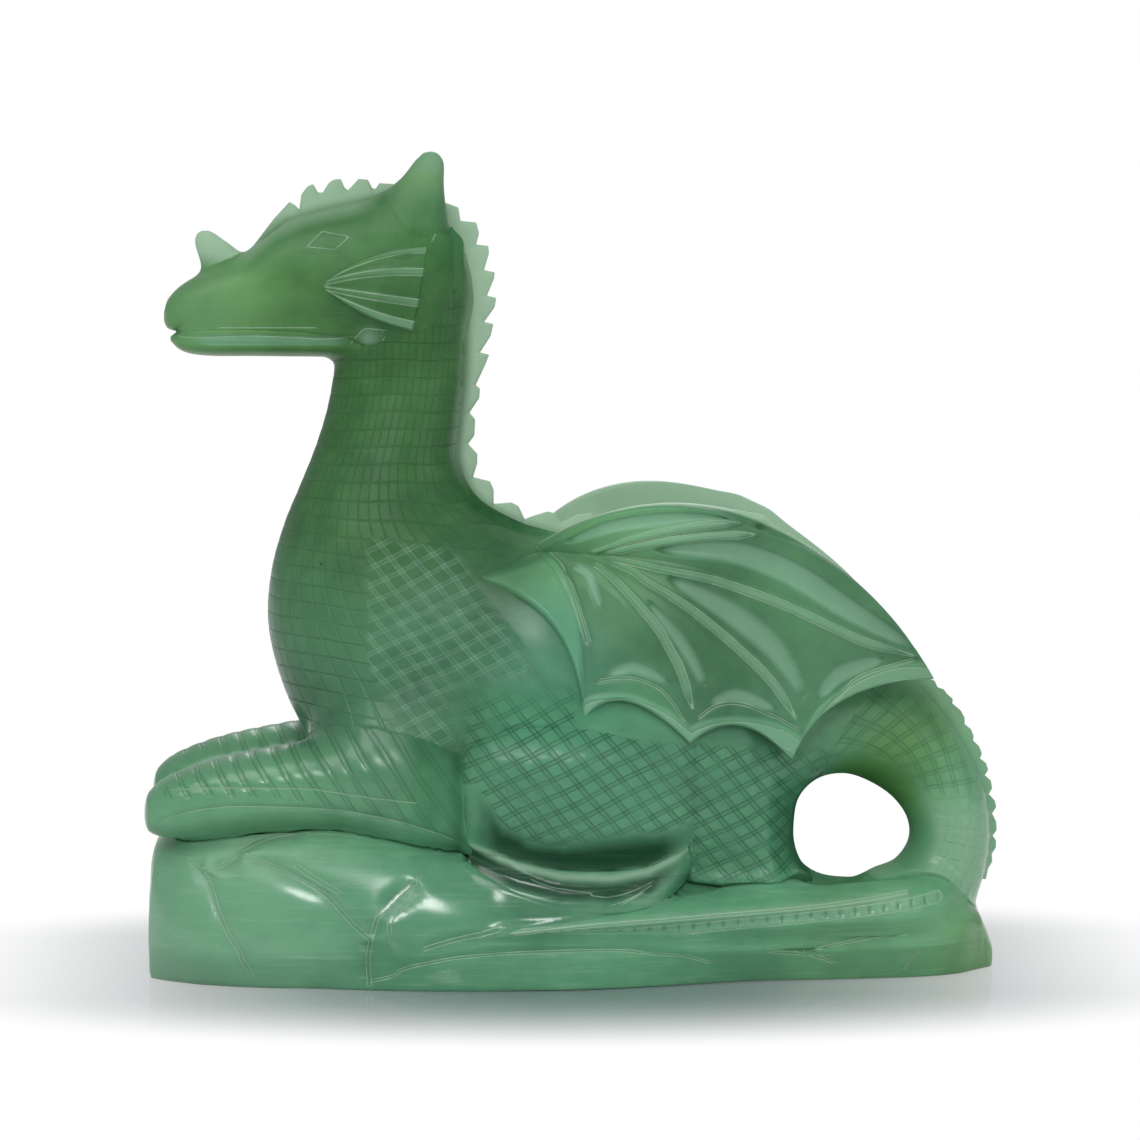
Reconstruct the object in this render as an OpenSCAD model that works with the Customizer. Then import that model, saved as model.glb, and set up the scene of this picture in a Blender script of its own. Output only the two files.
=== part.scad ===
// A reclining winged dragon carved from green stone, on its rock plinth.
// Nose towards -X, tail loop towards +X, -Y is the dragon's own left side, +Z up.
// The origin is the middle of the flat underside.  All lengths are millimetres.
//
// Every form is a loft: its stations name a point on its outer edge, a point on its
// inner edge, where its middle lies across the figure, half its thickness and how
// square its section is.  A form is cut back where the form that carries it begins.

/* [Overall] */
// Length of the figure from the front of the plinth to the tail loop
figure_length = 120; // [80:1:240]
// Points round each section
section_points = 28; // [20:4:32]

/* [Crest] */
// Thickness of the crest plate
crest_thickness = 1.8; // [1.4:0.1:2.4]
// Distance from tooth to tooth along the neck
neck_tooth_pitch = 3.7; // [3.2:0.1:4.6]
// Height of a neck tooth above the valley beside it
neck_tooth_height = 1.8; // [1:0.1:2.4]
// Height of the plate below the valleys
crest_band = 1.3; // [1:0.1:2]
// Height of a forehead tooth
head_tooth_height = 1.5; // [1:0.1:2]
// Number of teeth down the tail
tail_teeth = 13; // [8:1:18]
// Height of a tail tooth
tail_tooth_height = 0.6; // [0.4:0.1:1]

/* [Wings] */
// Thickness of a wing
wing_thickness = 3; // [2:0.1:4]

/* [Plinth] */
// Height up the plinth where it is widest
plinth_belly = 5; // [4:0.5:6]
// Squareness of the plinth's shoulders
plinth_square = 4; // [3:0.5:6]

/* [Hidden] */

drawn_length = 120.4;                    // the length at which the stations are written
drawn_middle = 0.6;                      // and where the middle of that length falls in them
size_ratio = figure_length / drawn_length;

deep_green = "#3f7a58";
mid_green = "#4f8a66";
light_green = "#679a78";
pale_green = "#93b297";

// ---- smooth curves through hand-set stations ----

// Value of a smooth curve between b and c, a and d being the stations beyond them
function bend(a, b, c, d, t) =
    0.5 * (2 * b + (c - a) * t + (2 * a - 5 * b + 4 * c - d) * t * t
           + (3 * b - a - 3 * c + d) * t * t * t);

// The station list read at any place s, from 0 to its last index
function read(list, s) =
    let (last = len(list) - 1, i = min(floor(s), last - 1))
    bend(list[max(i - 1, 0)], list[i], list[i + 1], list[min(i + 2, last)], s - i);

// Power that keeps the sign, for super-ellipse sections
function keep_sign(v, power) = sign(v) * pow(abs(v), power);

// One closed section: [outer x, outer z, inner x, inner z, middle y, half thickness, squareness]
function section(st) =
    let (cx = (st[0] + st[2]) / 2, cz = (st[1] + st[3]) / 2,
         ax = (st[0] - st[2]) / 2, az = (st[1] - st[3]) / 2, power = 2 / st[6])
    [for (k = [0 : section_points - 1])
        let (turn = 360 * k / section_points,
             u = keep_sign(cos(turn), power), v = keep_sign(sin(turn), power))
        [cx + ax * u, st[4] + st[5] * v, cz + az * u]];

// The solid between two sections
module span(a, b) {
    points = concat(a, b);
    hull() polyhedron(points = points, faces = [[for (i = [0 : len(points) - 1]) i]]);
}

// A loft through the stations from place first to place last, in equal steps
module loft(list, steps, first = 0, last = -1) {
    end = last < 0 ? len(list) - 1 : last;
    for (i = [0 : steps - 1])
        span(section(read(list, first + (end - first) * i / steps)),
             section(read(list, first + (end - first) * (i + 1) / steps)));
}

// Stations of an upright loft along X, from rows [x, top, bottom, middle y, half thickness]
function upright(rows, square) =
    [for (r = rows) [r[0], r[1], r[0], r[2], r[3], r[4], square]];

// Cubic curve through its four handles
function curve(p, t) =
    p[0] * pow(1 - t, 3) + p[1] * 3 * t * pow(1 - t, 2)
    + p[2] * 3 * t * t * (1 - t) + p[3] * pow(t, 3);

// Curve from a to c that leans towards b
function lean(a, b, c, t) = a * pow(1 - t, 2) + b * 2 * t * (1 - t) + c * t * t;

// ---- stations of the body, from the skull down the neck, along the back to the tail ----

body = [
    [-16.4, 105, -31, 99, 0, 6.4, 2.2],
    [-13.9, 98.5, -32.2, 91.5, 0, 6.9, 2.2],
    [-13.9, 91.5, -33.1, 85.5, 0, 7.3, 2.2],
    [-14.4, 84.5, -34.2, 79.5, 0, 7.9, 2.2],
    [-15.3, 78, -35.9, 74, 0, 8.8, 2.2],
    [-15.6, 72.3, -38, 68.8, 0, 10, 2.2],
    [-13.2, 67.2, -40.4, 63, 0, 11.6, 2.3],
    [-8, 63.8, -42.3, 56.5, 0, 13.4, 2.4],
    [-2, 61.9, -43, 49.5, 0, 14.8, 2.5],
    [3.5, 60.9, -41.9, 42.5, 0, 15.9, 2.6],
    [8.5, 59.7, -39, 35.5, 0, 16.7, 2.7],
    [13, 58.4, -33, 27.5, 0, 17.2, 2.8],
    [17, 57, -22, 21, 0, 17.5, 2.8],
    [20.5, 55.6, -8, 16, 0, 17.6, 2.8],
    [23.5, 54.2, 8, 12.5, 0, 17.5, 2.8],
    [26, 53, 22, 10, 0, 17.2, 2.7],
    [28.5, 51.6, 33, 9.5, 0, 16.6, 2.6],
    [31.5, 49.8, 32.4, 15.5, 0, 15.6, 2.5],
    [35, 47.6, 31.7, 21, 0, 14.2, 2.4],
    [39, 45, 32.8, 25.2, 0, 12.4, 2.3],
    [43.5, 42.4, 35.4, 27.6, 0, 10.8, 2.2],
    [48.5, 39.6, 38.8, 28.3, 0, 9.6, 2.2],
    [53, 35.8, 42.4, 27.6, 0, 8.7, 2.2],
    [56.8, 30.6, 45.8, 25.2, 0, 8, 2.2],
    [59, 25, 48, 21.6, 0, 7.6, 2.2],
    [59.8, 19, 48.4, 17.8, 0, 7.6, 2.2],
    [59.2, 13.8, 47, 14.4, 0, 7.9, 2.2],
    [58, 9.6, 44.5, 12.4, 0, 8.4, 2.2],
    [57, 5.5, 44, 8.5, 0, 8.6, 2.2]
];
skull_place = 0;
collar_place = 7;
neck_top = 0.6;                          // where the neck ends inside the skull
tail_root_place = 20;
tail_foot_place = 28;

module neck_form(first = skull_place) { loft(body, 18, first, collar_place); }
module torso_form() { loft(body, 26, collar_place, tail_root_place); }
module tail_form() { loft(body, 22, tail_root_place, tail_foot_place); }

// ---- plinth ----

// [x, half width at the belly, half width at the foot, height]
plinth = [
    [-59.6, 9, 7, 16.5],
    [-58.2, 13.5, 10.5, 19.8],
    [-54, 17, 13.5, 21.8],
    [-46, 19.5, 16.5, 23.4],
    [-36, 21, 19, 23.8],
    [-26, 22, 21.5, 22.4],
    [-14, 22.5, 22.5, 18.5],
    [0, 22.5, 22.3, 15],
    [12, 21.5, 19.5, 13.8],
    [24, 19.5, 16, 12.8],
    [36, 18, 15, 12.2],
    [48, 16.5, 13.5, 11.6],
    [54, 14, 11, 10.8],
    [57.8, 9.6, 7, 9.2],
    [59.6, 6, 4.5, 6.8]
];

// Upright section of the plinth: flat foot, wide belly, rounded shoulders
function plinth_section(r) =
    let (steps = section_points / 4, power = 2 / plinth_square)
    concat(
        [for (side = [-1, 1]) [r[0], side * r[2], 0]],
        [for (side = [-1, 1], k = [0 : steps])
            let (turn = 90 * k / steps)
            [r[0], side * r[1] * pow(abs(cos(turn)), power),
             plinth_belly + (r[3] - plinth_belly) * pow(sin(turn), power)]]);

module plinth_form() {
    steps = 34;
    last = len(plinth) - 1;
    for (i = [0 : steps - 1])
        span(plinth_section(read(plinth, last * i / steps)),
             plinth_section(read(plinth, last * (i + 1) / steps)));
}

// ---- limbs, as rows [x, top, bottom, middle y, half thickness] of the left side ----

foreleg = upright([
    [-59.6, 25.4, 23.4, -12.8, 1.8],
    [-58.8, 27.6, 21.4, -12.9, 4.2],
    [-56, 29.9, 20.4, -13, 5.7],
    [-50, 32, 20.4, -13.2, 6.5],
    [-42, 33.5, 21.4, -13.4, 6.9],
    [-34, 34.2, 21.4, -13.2, 7.1],
    [-26, 34.2, 19.8, -12.8, 7.2],
    [-18, 33.4, 18, -12.2, 7.3],
    [-8, 31.6, 17, -11, 7.2]
], 2.4);

thigh = upright([
    [-15.8, 30, 21, -14, 5],
    [-14.8, 32.5, 18.6, -14, 7],
    [-11, 34.3, 16.2, -14, 8],
    [-5, 35.3, 14.7, -14, 8.5],
    [2, 35, 14, -14, 8.6],
    [9, 33.2, 14.6, -13.8, 8.2],
    [14, 30.4, 17, -13.2, 7],
    [17, 26.4, 21.6, -12.6, 4]
], 2.4);

hind_foot = upright([
    [-14, 18.6, 15.6, -14.6, 3.4],
    [-9, 17.4, 12.6, -15.2, 5],
    [-2, 16, 10.6, -15.6, 5.8],
    [5, 15.6, 10, -15.6, 5.8],
    [11, 16.4, 11.4, -15, 5],
    [16, 19, 15, -13.8, 3.2]
], 2.2);

tail_end_rows = upright([
    [57, 11.6, 5.4, -5, 6.5],
    [52, 13, 5.6, -9, 6.6],
    [46, 13.6, 6, -12.2, 6.1],
    [36, 13.3, 6.3, -14.6, 5.2],
    [26, 12.7, 6.6, -16.6, 4.3],
    [16, 12, 7, -18.4, 3.5],
    [6, 11.3, 7.3, -19.8, 2.7],
    [-2, 10, 7.7, -20.8, 1.8],
    [-6, 9.2, 8.2, -21.2, 0.9]
], 2.2);

// ---- head, as rows [x, top, bottom, middle y, half thickness] ----

skull = upright([
    [-56.8, 93.2, 91.4, 0, 2.4],
    [-56.1, 95, 90.5, 0, 4.1],
    [-54.3, 96.8, 90.1, 0, 5.3],
    [-51, 98.8, 89.9, 0, 6.2],
    [-46, 100.8, 89.6, 0, 7],
    [-41, 103.8, 89.2, 0, 7.8],
    [-36.5, 106.8, 88.8, 0, 8.6],
    [-31, 109, 88, 0, 9.2],
    [-25, 109.6, 87, 0, 9.3],
    [-20, 108.6, 88.2, 0, 8.4],
    [-16.5, 106.2, 91, 0, 6.8],
    [-14.4, 102.6, 95, 0, 4.2]
], 2.4);

jaw = upright([
    [-56, 90.3, 89.3, 0, 2.8],
    [-54.4, 90.8, 88.1, 0, 4.3],
    [-51, 90.8, 87.1, 0, 5.5],
    [-45, 90.8, 86.7, 0, 6.4],
    [-38, 90.4, 86.6, 0, 7],
    [-33, 89.8, 86.8, 0, 7.2],
    [-29.5, 88.8, 87.6, 0, 6.6]
], 2.4);

// ---- leaves: horns as thin lofts, [x front, x back, height, middle y, half thickness] ----

function leaf(rows) = [for (r = rows) [r[1], r[2], r[0], r[2], r[3], r[4], 2]];

horn = leaf([
    [-27, -17.4, 104, -5.2, 2.6],
    [-25.2, -17.2, 108, -5.6, 2.4],
    [-23.6, -17.4, 111.4, -5.9, 1.9],
    [-21.9, -17.9, 113.8, -6, 1.4],
    [-20.2, -18.8, 115.4, -6, 0.7]
]);

nose_leaf = leaf([
    [-52.6, -45.2, 98.8, 0, 1.6],
    [-52.6, -46.8, 101.4, 0, 1.3],
    [-52.3, -48.8, 103.2, 0, 1],
    [-51.6, -50.2, 104.4, 0, 0.5]
]);

// ---- sheets: closed plates between an outer and an inner grid of points ----

module sheet(outer, inner) {
    rows = len(outer);
    cols = len(outer[0]);
    count = rows * cols;
    function at(i, j) = i * cols + j;
    rim = concat([for (j = [0 : cols - 1]) at(0, j)],
                 [for (i = [1 : rows - 1]) at(i, cols - 1)],
                 [for (j = [cols - 2 : -1 : 0]) at(rows - 1, j)],
                 [for (i = [rows - 2 : -1 : 1]) at(i, 0)]);
    faces = concat(
        [for (i = [0 : rows - 2], j = [0 : cols - 2], half = [0, 1])
            half == 0 ? [at(i, j), at(i, j + 1), at(i + 1, j + 1)]
                      : [at(i, j), at(i + 1, j + 1), at(i + 1, j)]],
        [for (i = [0 : rows - 2], j = [0 : cols - 2], half = [0, 1])
            half == 0 ? [count + at(i + 1, j + 1), count + at(i, j + 1), count + at(i, j)]
                      : [count + at(i + 1, j), count + at(i + 1, j + 1), count + at(i, j)]],
        [for (k = [0 : len(rim) - 1], half = [0, 1])
            let (a = rim[k], b = rim[(k + 1) % len(rim)])
            half == 0 ? [b, a, count + a] : [b, count + a, count + b]]);
    polyhedron(points = concat([for (r = outer) each r], [for (r = inner) each r]),
               faces = faces);
}

// ---- wing: five fingers from the shoulder, and the rim curve from finger to finger ----

fingers = [
    [[-12.5, -15, 56.6], [-6, -17.5, 55], [0.6, -19, 50.5], [1, -19.4, 37.2]],
    [[-4.5, -13, 59.6], [0.5, -17, 56], [1.6, -19.4, 46], [1.8, -19.4, 37.6]],
    [[-3.5, -13.4, 60], [5, -19.4, 56], [14.5, -20, 48], [15.9, -19.4, 33.7]],
    [[-3.2, -13.4, 60.2], [9, -19.6, 57.5], [24, -20.4, 48], [30, -17.6, 31.3]],
    [[-3.4, -13.2, 60.4], [12, -19.6, 61], [32, -19.4, 56], [50, -12, 42.7]],
    [[-5, -12.6, 60.8], [2, -16.6, 66.8], [14, -19, 69.6], [25.7, -18.6, 64.2]]
];
rim_handles = [[1.4, -19.4, 37.4], [6.5, -19.8, 43.5], [22.5, -19.4, 40],
               [35, -16.5, 43], [40.4, -16.8, 57]];
rim_hold = 3;                            // how soon a panel bends to its rim curve
panel_steps = [2, 4, 4, 5, 6];           // columns in each panel
finger_steps = 9;                        // rows from the shoulder to the rim

function panel_point(p, across, out) =
    let (a = fingers[p], b = fingers[p + 1],
         straight = a[3] * (1 - across) + b[3] * across)
    curve(a, out) * (1 - across) + curve(b, out) * across
    + pow(out, rim_hold) * (lean(a[3], rim_handles[p], b[3], across) - straight);

wing_grid = [for (i = [0 : finger_steps])
    [for (p = [0 : len(panel_steps) - 1], k = [0 : panel_steps[p] - (p == len(panel_steps) - 1 ? 0 : 1)])
        panel_point(p, k / panel_steps[p], i / finger_steps)]];

module wing_form() {
    sheet(wing_grid, [for (r = wing_grid) [for (q = r) q + [0, wing_thickness, 0]]]);
}

// ---- ear fin: a fan from its apex to its swept hind edge ----

fin_apex = [-33.4, -8.4, 96.4];
fin_hind = [[-21.9, -8.8, 90.2], [-20.4, -9.6, 96.4], [-19.6, -8.4, 102.8]];
fin_stand = 1.2;                         // how far the fan stands off the head
fin_steps = 6;

fin_grid = [for (i = [0 : fin_steps])
    [for (j = [0 : fin_steps])
        let (hind = lean(fin_hind[0], fin_hind[1], fin_hind[2], j / fin_steps),
             out = 0.08 + 0.92 * i / fin_steps)
        fin_apex * (1 - out) + hind * out - [0, fin_stand * sin(150 * out), 0]]];

module fin_form() {
    sheet(fin_grid, [for (r = fin_grid) [for (q = r) [q[0], -5, q[2]]]]);
}

// ---- crest: a toothed plate that follows an edge ----

// Height of one tooth at four equal steps along it, as a share of its full height
tooth_leaning_on = [0, 0.55, 0.9, 1];    // slow to rise, quick to fall
tooth_leaning_back = [0.05, 1, 0.75, 0.4];

// Plate from edge points and their outward directions; its two ends sink into the stone
module crest_plate(edge, outward, teeth, band, height, shape) {
    root = 2.6;
    samples = teeth * 4;
    function spot(i) = read(edge, (len(edge) - 1) * i / samples);
    function out_at(i) = read(outward, (len(outward) - 1) * i / samples);
    function reach(i) =
        i == 0 || i == samples ? -1 : band + height * shape[i % 4];
    tips = [for (i = [0 : samples]) spot(i) + out_at(i) * reach(i)];
    roots = [for (i = [samples : -4 : 0]) spot(i) - out_at(i) * root];
    rotate([90, 0, 0]) linear_extrude(crest_thickness, center = true)
        polygon(concat(tips, roots));
}

// Outward direction of the body's outer edge at place s
function body_outward(s) =
    let (a = read(body, max(s - 0.1, 0)), b = read(body, min(s + 0.1, len(body) - 1)),
         d = [b[0] - a[0], b[1] - a[1]])
    [-d[1], d[0]] / norm(d);
function body_edge(s) = let (r = read(body, s)) [r[0], r[1]];

neck_places = [for (s = [0.2 : 0.4 : 8.2]) s];
neck_run = 54;                           // length of nape that carries the crest
tail_crest_band = 0.4;
tail_places = [for (s = [21 : 0.5 : 27]) s];

skull_top = [[-46.5, 100.2], [-42, 102.8], [-37, 106.3], [-31, 108.8], [-25, 109.4], [-20, 108.2]];
skull_out = [[-0.5, 0.86], [-0.54, 0.84], [-0.4, 0.92], [-0.1, 1], [0.1, 1], [0.5, 0.87]];

// ---- the forms as they meet ----

module mirrored() { mirror([0, 1, 0]) children(); }

// The stations brought to the figure's size, with its middle over the origin
module placed() { scale(size_ratio) translate([-drawn_middle, 0, 0]) children(); }

module rock_base() {
    color(light_green) placed() plinth_form();
}

module torso() {
    color(deep_green) placed() difference() {
        torso_form();
        plinth_form();
    }
}

module neck() {
    color(deep_green) placed() neck_form(neck_top);
}

module head() {
    color(mid_green) placed() difference() {
        loft(skull, 20);
        neck_form(neck_top);
    }
}

module lower_jaw() {
    color(light_green) placed() difference() {
        loft(jaw, 12);
        loft(skull, 20);
        neck_form(neck_top);
    }
}

module nose_horn() {
    color(pale_green) placed() difference() {
        loft(nose_leaf, 8);
        loft(skull, 20);
    }
}

module left_horn() {
    color(light_green) placed() difference() {
        loft(horn, 9);
        loft(skull, 20);
        neck_form(neck_top);
    }
}

module right_horn() { mirrored() left_horn(); }

module left_ear_fin() {
    color(light_green) placed() difference() {
        fin_form();
        loft(skull, 20);
        neck_form(neck_top);
        loft(horn, 9);
    }
}

module right_ear_fin() { mirrored() left_ear_fin(); }

module head_crest() {
    color(pale_green) placed() difference() {
        crest_plate(skull_top, skull_out, 6, crest_band, head_tooth_height, tooth_leaning_on);
        loft(skull, 20);
        neck_form(neck_top);
        loft(horn, 9);
        mirrored() loft(horn, 9);
    }
}

module neck_crest() {
    color(pale_green) placed() difference() {
        crest_plate([for (s = neck_places) body_edge(s)], [for (s = neck_places) body_outward(s)],
                    round(neck_run / neck_tooth_pitch), crest_band, neck_tooth_height,
                    tooth_leaning_back);
        neck_form(neck_top);
        torso_form();
        loft(skull, 20);
        loft(horn, 9);
        mirrored() loft(horn, 9);
    }
}

module left_wing() {
    color(light_green) placed() difference() {
        wing_form();
        torso_form();
        neck_form(neck_top);
        tail_form();
    }
}

module right_wing() { mirrored() left_wing(); }

module left_foreleg() {
    color(light_green) placed() difference() {
        loft(foreleg, 16);
        torso_form();
        plinth_form();
    }
}

module right_foreleg() { mirrored() left_foreleg(); }

module left_thigh() {
    color(mid_green) placed() difference() {
        loft(thigh, 16);
        torso_form();
        plinth_form();
        loft(foreleg, 16);
        wing_form();
    }
}

module right_thigh() { mirrored() left_thigh(); }

module left_hind_foot() {
    color(mid_green) placed() difference() {
        loft(hind_foot, 12);
        torso_form();
        plinth_form();
        loft(thigh, 16);
        loft(foreleg, 16);
    }
}

module right_hind_foot() { mirrored() left_hind_foot(); }

module tail_loop() {
    color(light_green) placed() difference() {
        tail_form();
        plinth_form();
    }
}

module tail_crest() {
    color(pale_green) placed() difference() {
        crest_plate([for (s = tail_places) body_edge(s)], [for (s = tail_places) body_outward(s)],
                    tail_teeth, tail_crest_band, tail_tooth_height, tooth_leaning_on);
        tail_form();
        plinth_form();
    }
}

module tail_end() {
    color(light_green) placed() difference() {
        loft(tail_end_rows, 18);
        tail_form();
        plinth_form();
        loft(hind_foot, 12);
        loft(thigh, 16);
    }
}

rock_base();
torso();
neck();
head();
lower_jaw();
nose_horn();
left_horn();
right_horn();
left_ear_fin();
right_ear_fin();
head_crest();
neck_crest();
left_wing();
right_wing();
left_foreleg();
right_foreleg();
left_thigh();
right_thigh();
left_hind_foot();
right_hind_foot();
tail_loop();
tail_crest();
tail_end();
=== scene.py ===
"""A reclining winged dragon carved from one block of green aventurine, on its rock plinth.

Every form is a surface worked out in drawn millimetres, the same stations that the solids
were made from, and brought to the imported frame's size at the end.
"""

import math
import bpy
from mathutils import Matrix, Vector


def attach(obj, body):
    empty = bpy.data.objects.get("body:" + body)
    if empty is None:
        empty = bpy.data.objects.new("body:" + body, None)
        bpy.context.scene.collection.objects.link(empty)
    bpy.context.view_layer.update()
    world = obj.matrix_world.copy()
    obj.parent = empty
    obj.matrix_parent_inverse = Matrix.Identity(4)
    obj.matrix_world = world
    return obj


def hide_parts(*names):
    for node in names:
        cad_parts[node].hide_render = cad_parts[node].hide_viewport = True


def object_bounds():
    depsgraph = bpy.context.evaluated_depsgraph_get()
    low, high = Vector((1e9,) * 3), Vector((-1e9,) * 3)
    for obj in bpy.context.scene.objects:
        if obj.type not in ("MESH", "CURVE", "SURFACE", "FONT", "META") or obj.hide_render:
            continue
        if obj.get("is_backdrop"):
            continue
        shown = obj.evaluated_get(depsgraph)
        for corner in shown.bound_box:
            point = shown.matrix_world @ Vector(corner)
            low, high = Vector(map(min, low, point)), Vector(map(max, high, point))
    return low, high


bl_info = {
    "name": "Carved stone dragon",
    "version": (1, 0, 0),
    "blender": (4, 5, 0),
    "location": "View3D > Sidebar > Carving",
    "description": "Builds a reclining winged dragon in polished green stone",
    "category": "Add Mesh",
}

import types

import bpy
import numpy as np

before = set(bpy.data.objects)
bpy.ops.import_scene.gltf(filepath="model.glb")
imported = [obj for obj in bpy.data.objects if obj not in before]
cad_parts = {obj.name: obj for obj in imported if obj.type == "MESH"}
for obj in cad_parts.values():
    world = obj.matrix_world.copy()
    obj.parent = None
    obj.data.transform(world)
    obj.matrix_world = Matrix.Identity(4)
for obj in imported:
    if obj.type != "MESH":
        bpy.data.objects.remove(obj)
LOWEST, HIGHEST = (np.array(corner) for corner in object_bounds())

# The length at which the stations are written, and where its middle falls in them, in mm
DRAWN_LENGTH = 120.4
DRAWN_MIDDLE = 0.6
RATIO = float(HIGHEST[0] - LOWEST[0]) / DRAWN_LENGTH      # metres to a drawn millimetre


# ---------------------------------------------------------------- stations, in drawn mm

# Spine: outer x, outer z, inner x, inner z, middle y, half thickness, squareness
SPINE_ROWS = [
    [-19.4, 104, -30, 99.5, 0, 3.6, 2.2], [-15.3, 98, -32.2, 91.5, 0, 6.3, 2.2],
    [-14.5, 91.5, -33.1, 85.5, 0, 7.3, 2.2], [-14.6, 84.5, -34.2, 79.5, 0, 7.9, 2.2],
    [-15.3, 78, -35.9, 74, 0, 8.8, 2.2], [-15.6, 72.3, -38, 68.8, 0, 10, 2.2],
    [-13.2, 67.2, -40.4, 63, 0, 11.6, 2.3], [-8, 63.8, -42.2, 56.5, 0, 13.4, 2.4],
    [-2, 61.9, -42.7, 49.5, 0, 14.8, 2.5], [3.5, 60.9, -41.3, 42.5, 0, 15.9, 2.6],
    [8.5, 59.7, -38.4, 35.5, 0, 16.7, 2.7], [13, 58.4, -33, 27.5, 0, 17.2, 2.8],
    [17, 57, -22, 21, 0, 17.5, 2.8], [20.5, 55.6, -8, 16, 0, 17.6, 2.8],
    [23.5, 54.2, 8, 12.5, 0, 17.5, 2.8], [26, 53, 22, 10, 0, 17.2, 2.7],
    [28.5, 51.6, 32.6, 9.5, 0, 16.6, 2.4], [31.5, 49.8, 31.9, 15, 0, 15.6, 2.3],
    [35, 47.8, 31.7, 20, 0, 14.2, 2.2], [39.4, 45.6, 32.4, 24.2, 0, 12.4, 2.1],
    [44.2, 43.4, 34.9, 26.7, 0, 10.8, 2.1], [49.2, 40.6, 38.6, 27.4, 0, 9.6, 2.1],
    [53.2, 36.2, 42.1, 26.4, 0, 8.7, 2.1], [56.8, 30.6, 45.7, 24.1, 0, 8, 2.1],
    [59, 25, 48, 21, 0, 7.6, 2.2], [59.8, 19, 48.4, 17.8, 0, 7.6, 2.2],
    [59.2, 13.8, 47, 14.4, 0, 7.9, 2.2], [58, 9.6, 44.5, 12.4, 0, 8.4, 2.2],
    [57, 5.5, 44, 8.5, 0, 8.6, 2.2],
]
# From row 14 to 21 the sections are bent, so that they meet the edge of the loop's hole
# squarely: how far each one's handle lies from its middle, x and z, goes on after the row
SPINE = np.hstack([SPINE_ROWS, np.zeros((len(SPINE_ROWS), 2))])
SPINE[14:22, 7:] = [[-1, -2], [-3, -7], [-8.6, -18], [-7.7, -14.9], [-7.9, -11.9],
                    [-6.9, -7.9], [-4.6, -3.5], [-2.3, -0.9]]
# Where neck, torso and tail begin and end, as places among the rows
NECK_TOP, COLLAR, TAIL_ROOT, TAIL_FOOT = 0.6, 7, 20, 28

# Plinth: x, half width at the belly, half width at the foot, height
PLINTH = [
    [-59.3, 8, 6.5, 14], [-58.4, 12.5, 10, 18.4], [-54, 17, 13.5, 21.6],
    [-46, 19.5, 16.5, 23.4], [-36, 21, 19, 23.8], [-26, 22, 21.5, 22.4],
    [-14, 22.5, 22.5, 18.5], [0, 22.5, 22.3, 15], [12, 21.5, 19.5, 13.6],
    [24, 19.5, 16, 12.3], [36, 18, 15, 11.2], [48, 16.5, 13.5, 10.6],
    [54, 14, 11, 10.6], [57.2, 10, 7.6, 8.8], [58.4, 8, 6.2, 6.8], [59.2, 6.4, 5.2, 4.9],
    [59.8, 4.8, 4, 3.2], [60, 3.4, 2.8, 1.6],
]

# Limbs and head, along X: x, top, bottom, middle y, half thickness (the left ones)
FORELEG = [
    [-59.6, 25, 22.8, -12.8, 1.8], [-58.9, 26.9, 21.2, -12.9, 4],
    [-56, 29.1, 20.4, -13, 5.6], [-50, 31.3, 20.4, -13.2, 6.5], [-42, 33, 21.4, -13.4, 6.9],
    [-34, 34.2, 21.4, -13.2, 7.1], [-26, 34.2, 19.8, -12.8, 7.2],
    [-18, 33.4, 18, -12.2, 7.3], [-8, 31.6, 17, -11, 7.2],
]
THIGH = [
    [-16, 28.6, 23.4, -14, 3], [-15.5, 30.8, 21.2, -14, 5.2], [-14, 32.8, 18.9, -14, 6.8],
    [-11, 34.3, 17, -14, 7.9], [-5, 35.3, 15.4, -14, 8.5], [2, 35, 14.8, -14, 8.6],
    [9, 33.2, 15.4, -13.8, 8.2], [14, 30.4, 17.6, -13.2, 7], [16.2, 27.6, 20.6, -12.8, 5],
    [17, 25.4, 22.6, -12.6, 2.6],
]
HIND_FOOT = [
    [-14.6, 20.3, 17.4, -15, 3.6], [-12, 19.2, 14.6, -15.2, 5], [-8, 17.6, 12.2, -15.4, 6],
    [-2, 16.1, 10.4, -15.6, 6.5], [5, 15.8, 10, -15.6, 6.4], [10, 16.5, 10.8, -15.0, 5.8],
    [13.6, 18, 13.2, -14.2, 4.8], [15.8, 19.4, 15.8, -13.4, 3.4], [16.8, 20.2, 18, -12.8, 1.8],
]
TAIL_END = [
    [55.4, 11, 6.6, -4.5, 5], [52, 12.9, 5.8, -8.6, 6.2], [46, 13.6, 6, -12.2, 6.1],
    [36, 13.3, 6.3, -14.6, 5.2], [26, 12.7, 6.6, -16.6, 4.3], [16, 12, 7, -18.4, 3.5],
    [6, 10.9, 7.4, -20, 2.9], [-2, 9.9, 7.7, -20.8, 2.2], [-9, 9, 7.9, -21.4, 1.4],
    [-13, 8.5, 8.1, -21.6, 0.7],
]
SKULL = [
    [-57, 93.2, 91.5, 0, 2.2], [-56.4, 94.9, 90.6, 0, 4], [-54.5, 96.8, 90.2, 0, 5.3],
    [-51, 98.8, 89.9, 0, 6.2], [-46, 101.1, 89.6, 0, 7], [-41, 105.2, 89.2, 0, 7.8],
    [-36.5, 107, 88.8, 0, 8.6], [-31, 108.3, 88, 0, 9.2], [-25, 109.5, 87, 0, 9.3],
    [-20.8, 108.2, 88.2, 0, 8.4], [-18, 105.6, 91, 0, 7], [-16.4, 102.4, 95, 0, 4.4],
]
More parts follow.
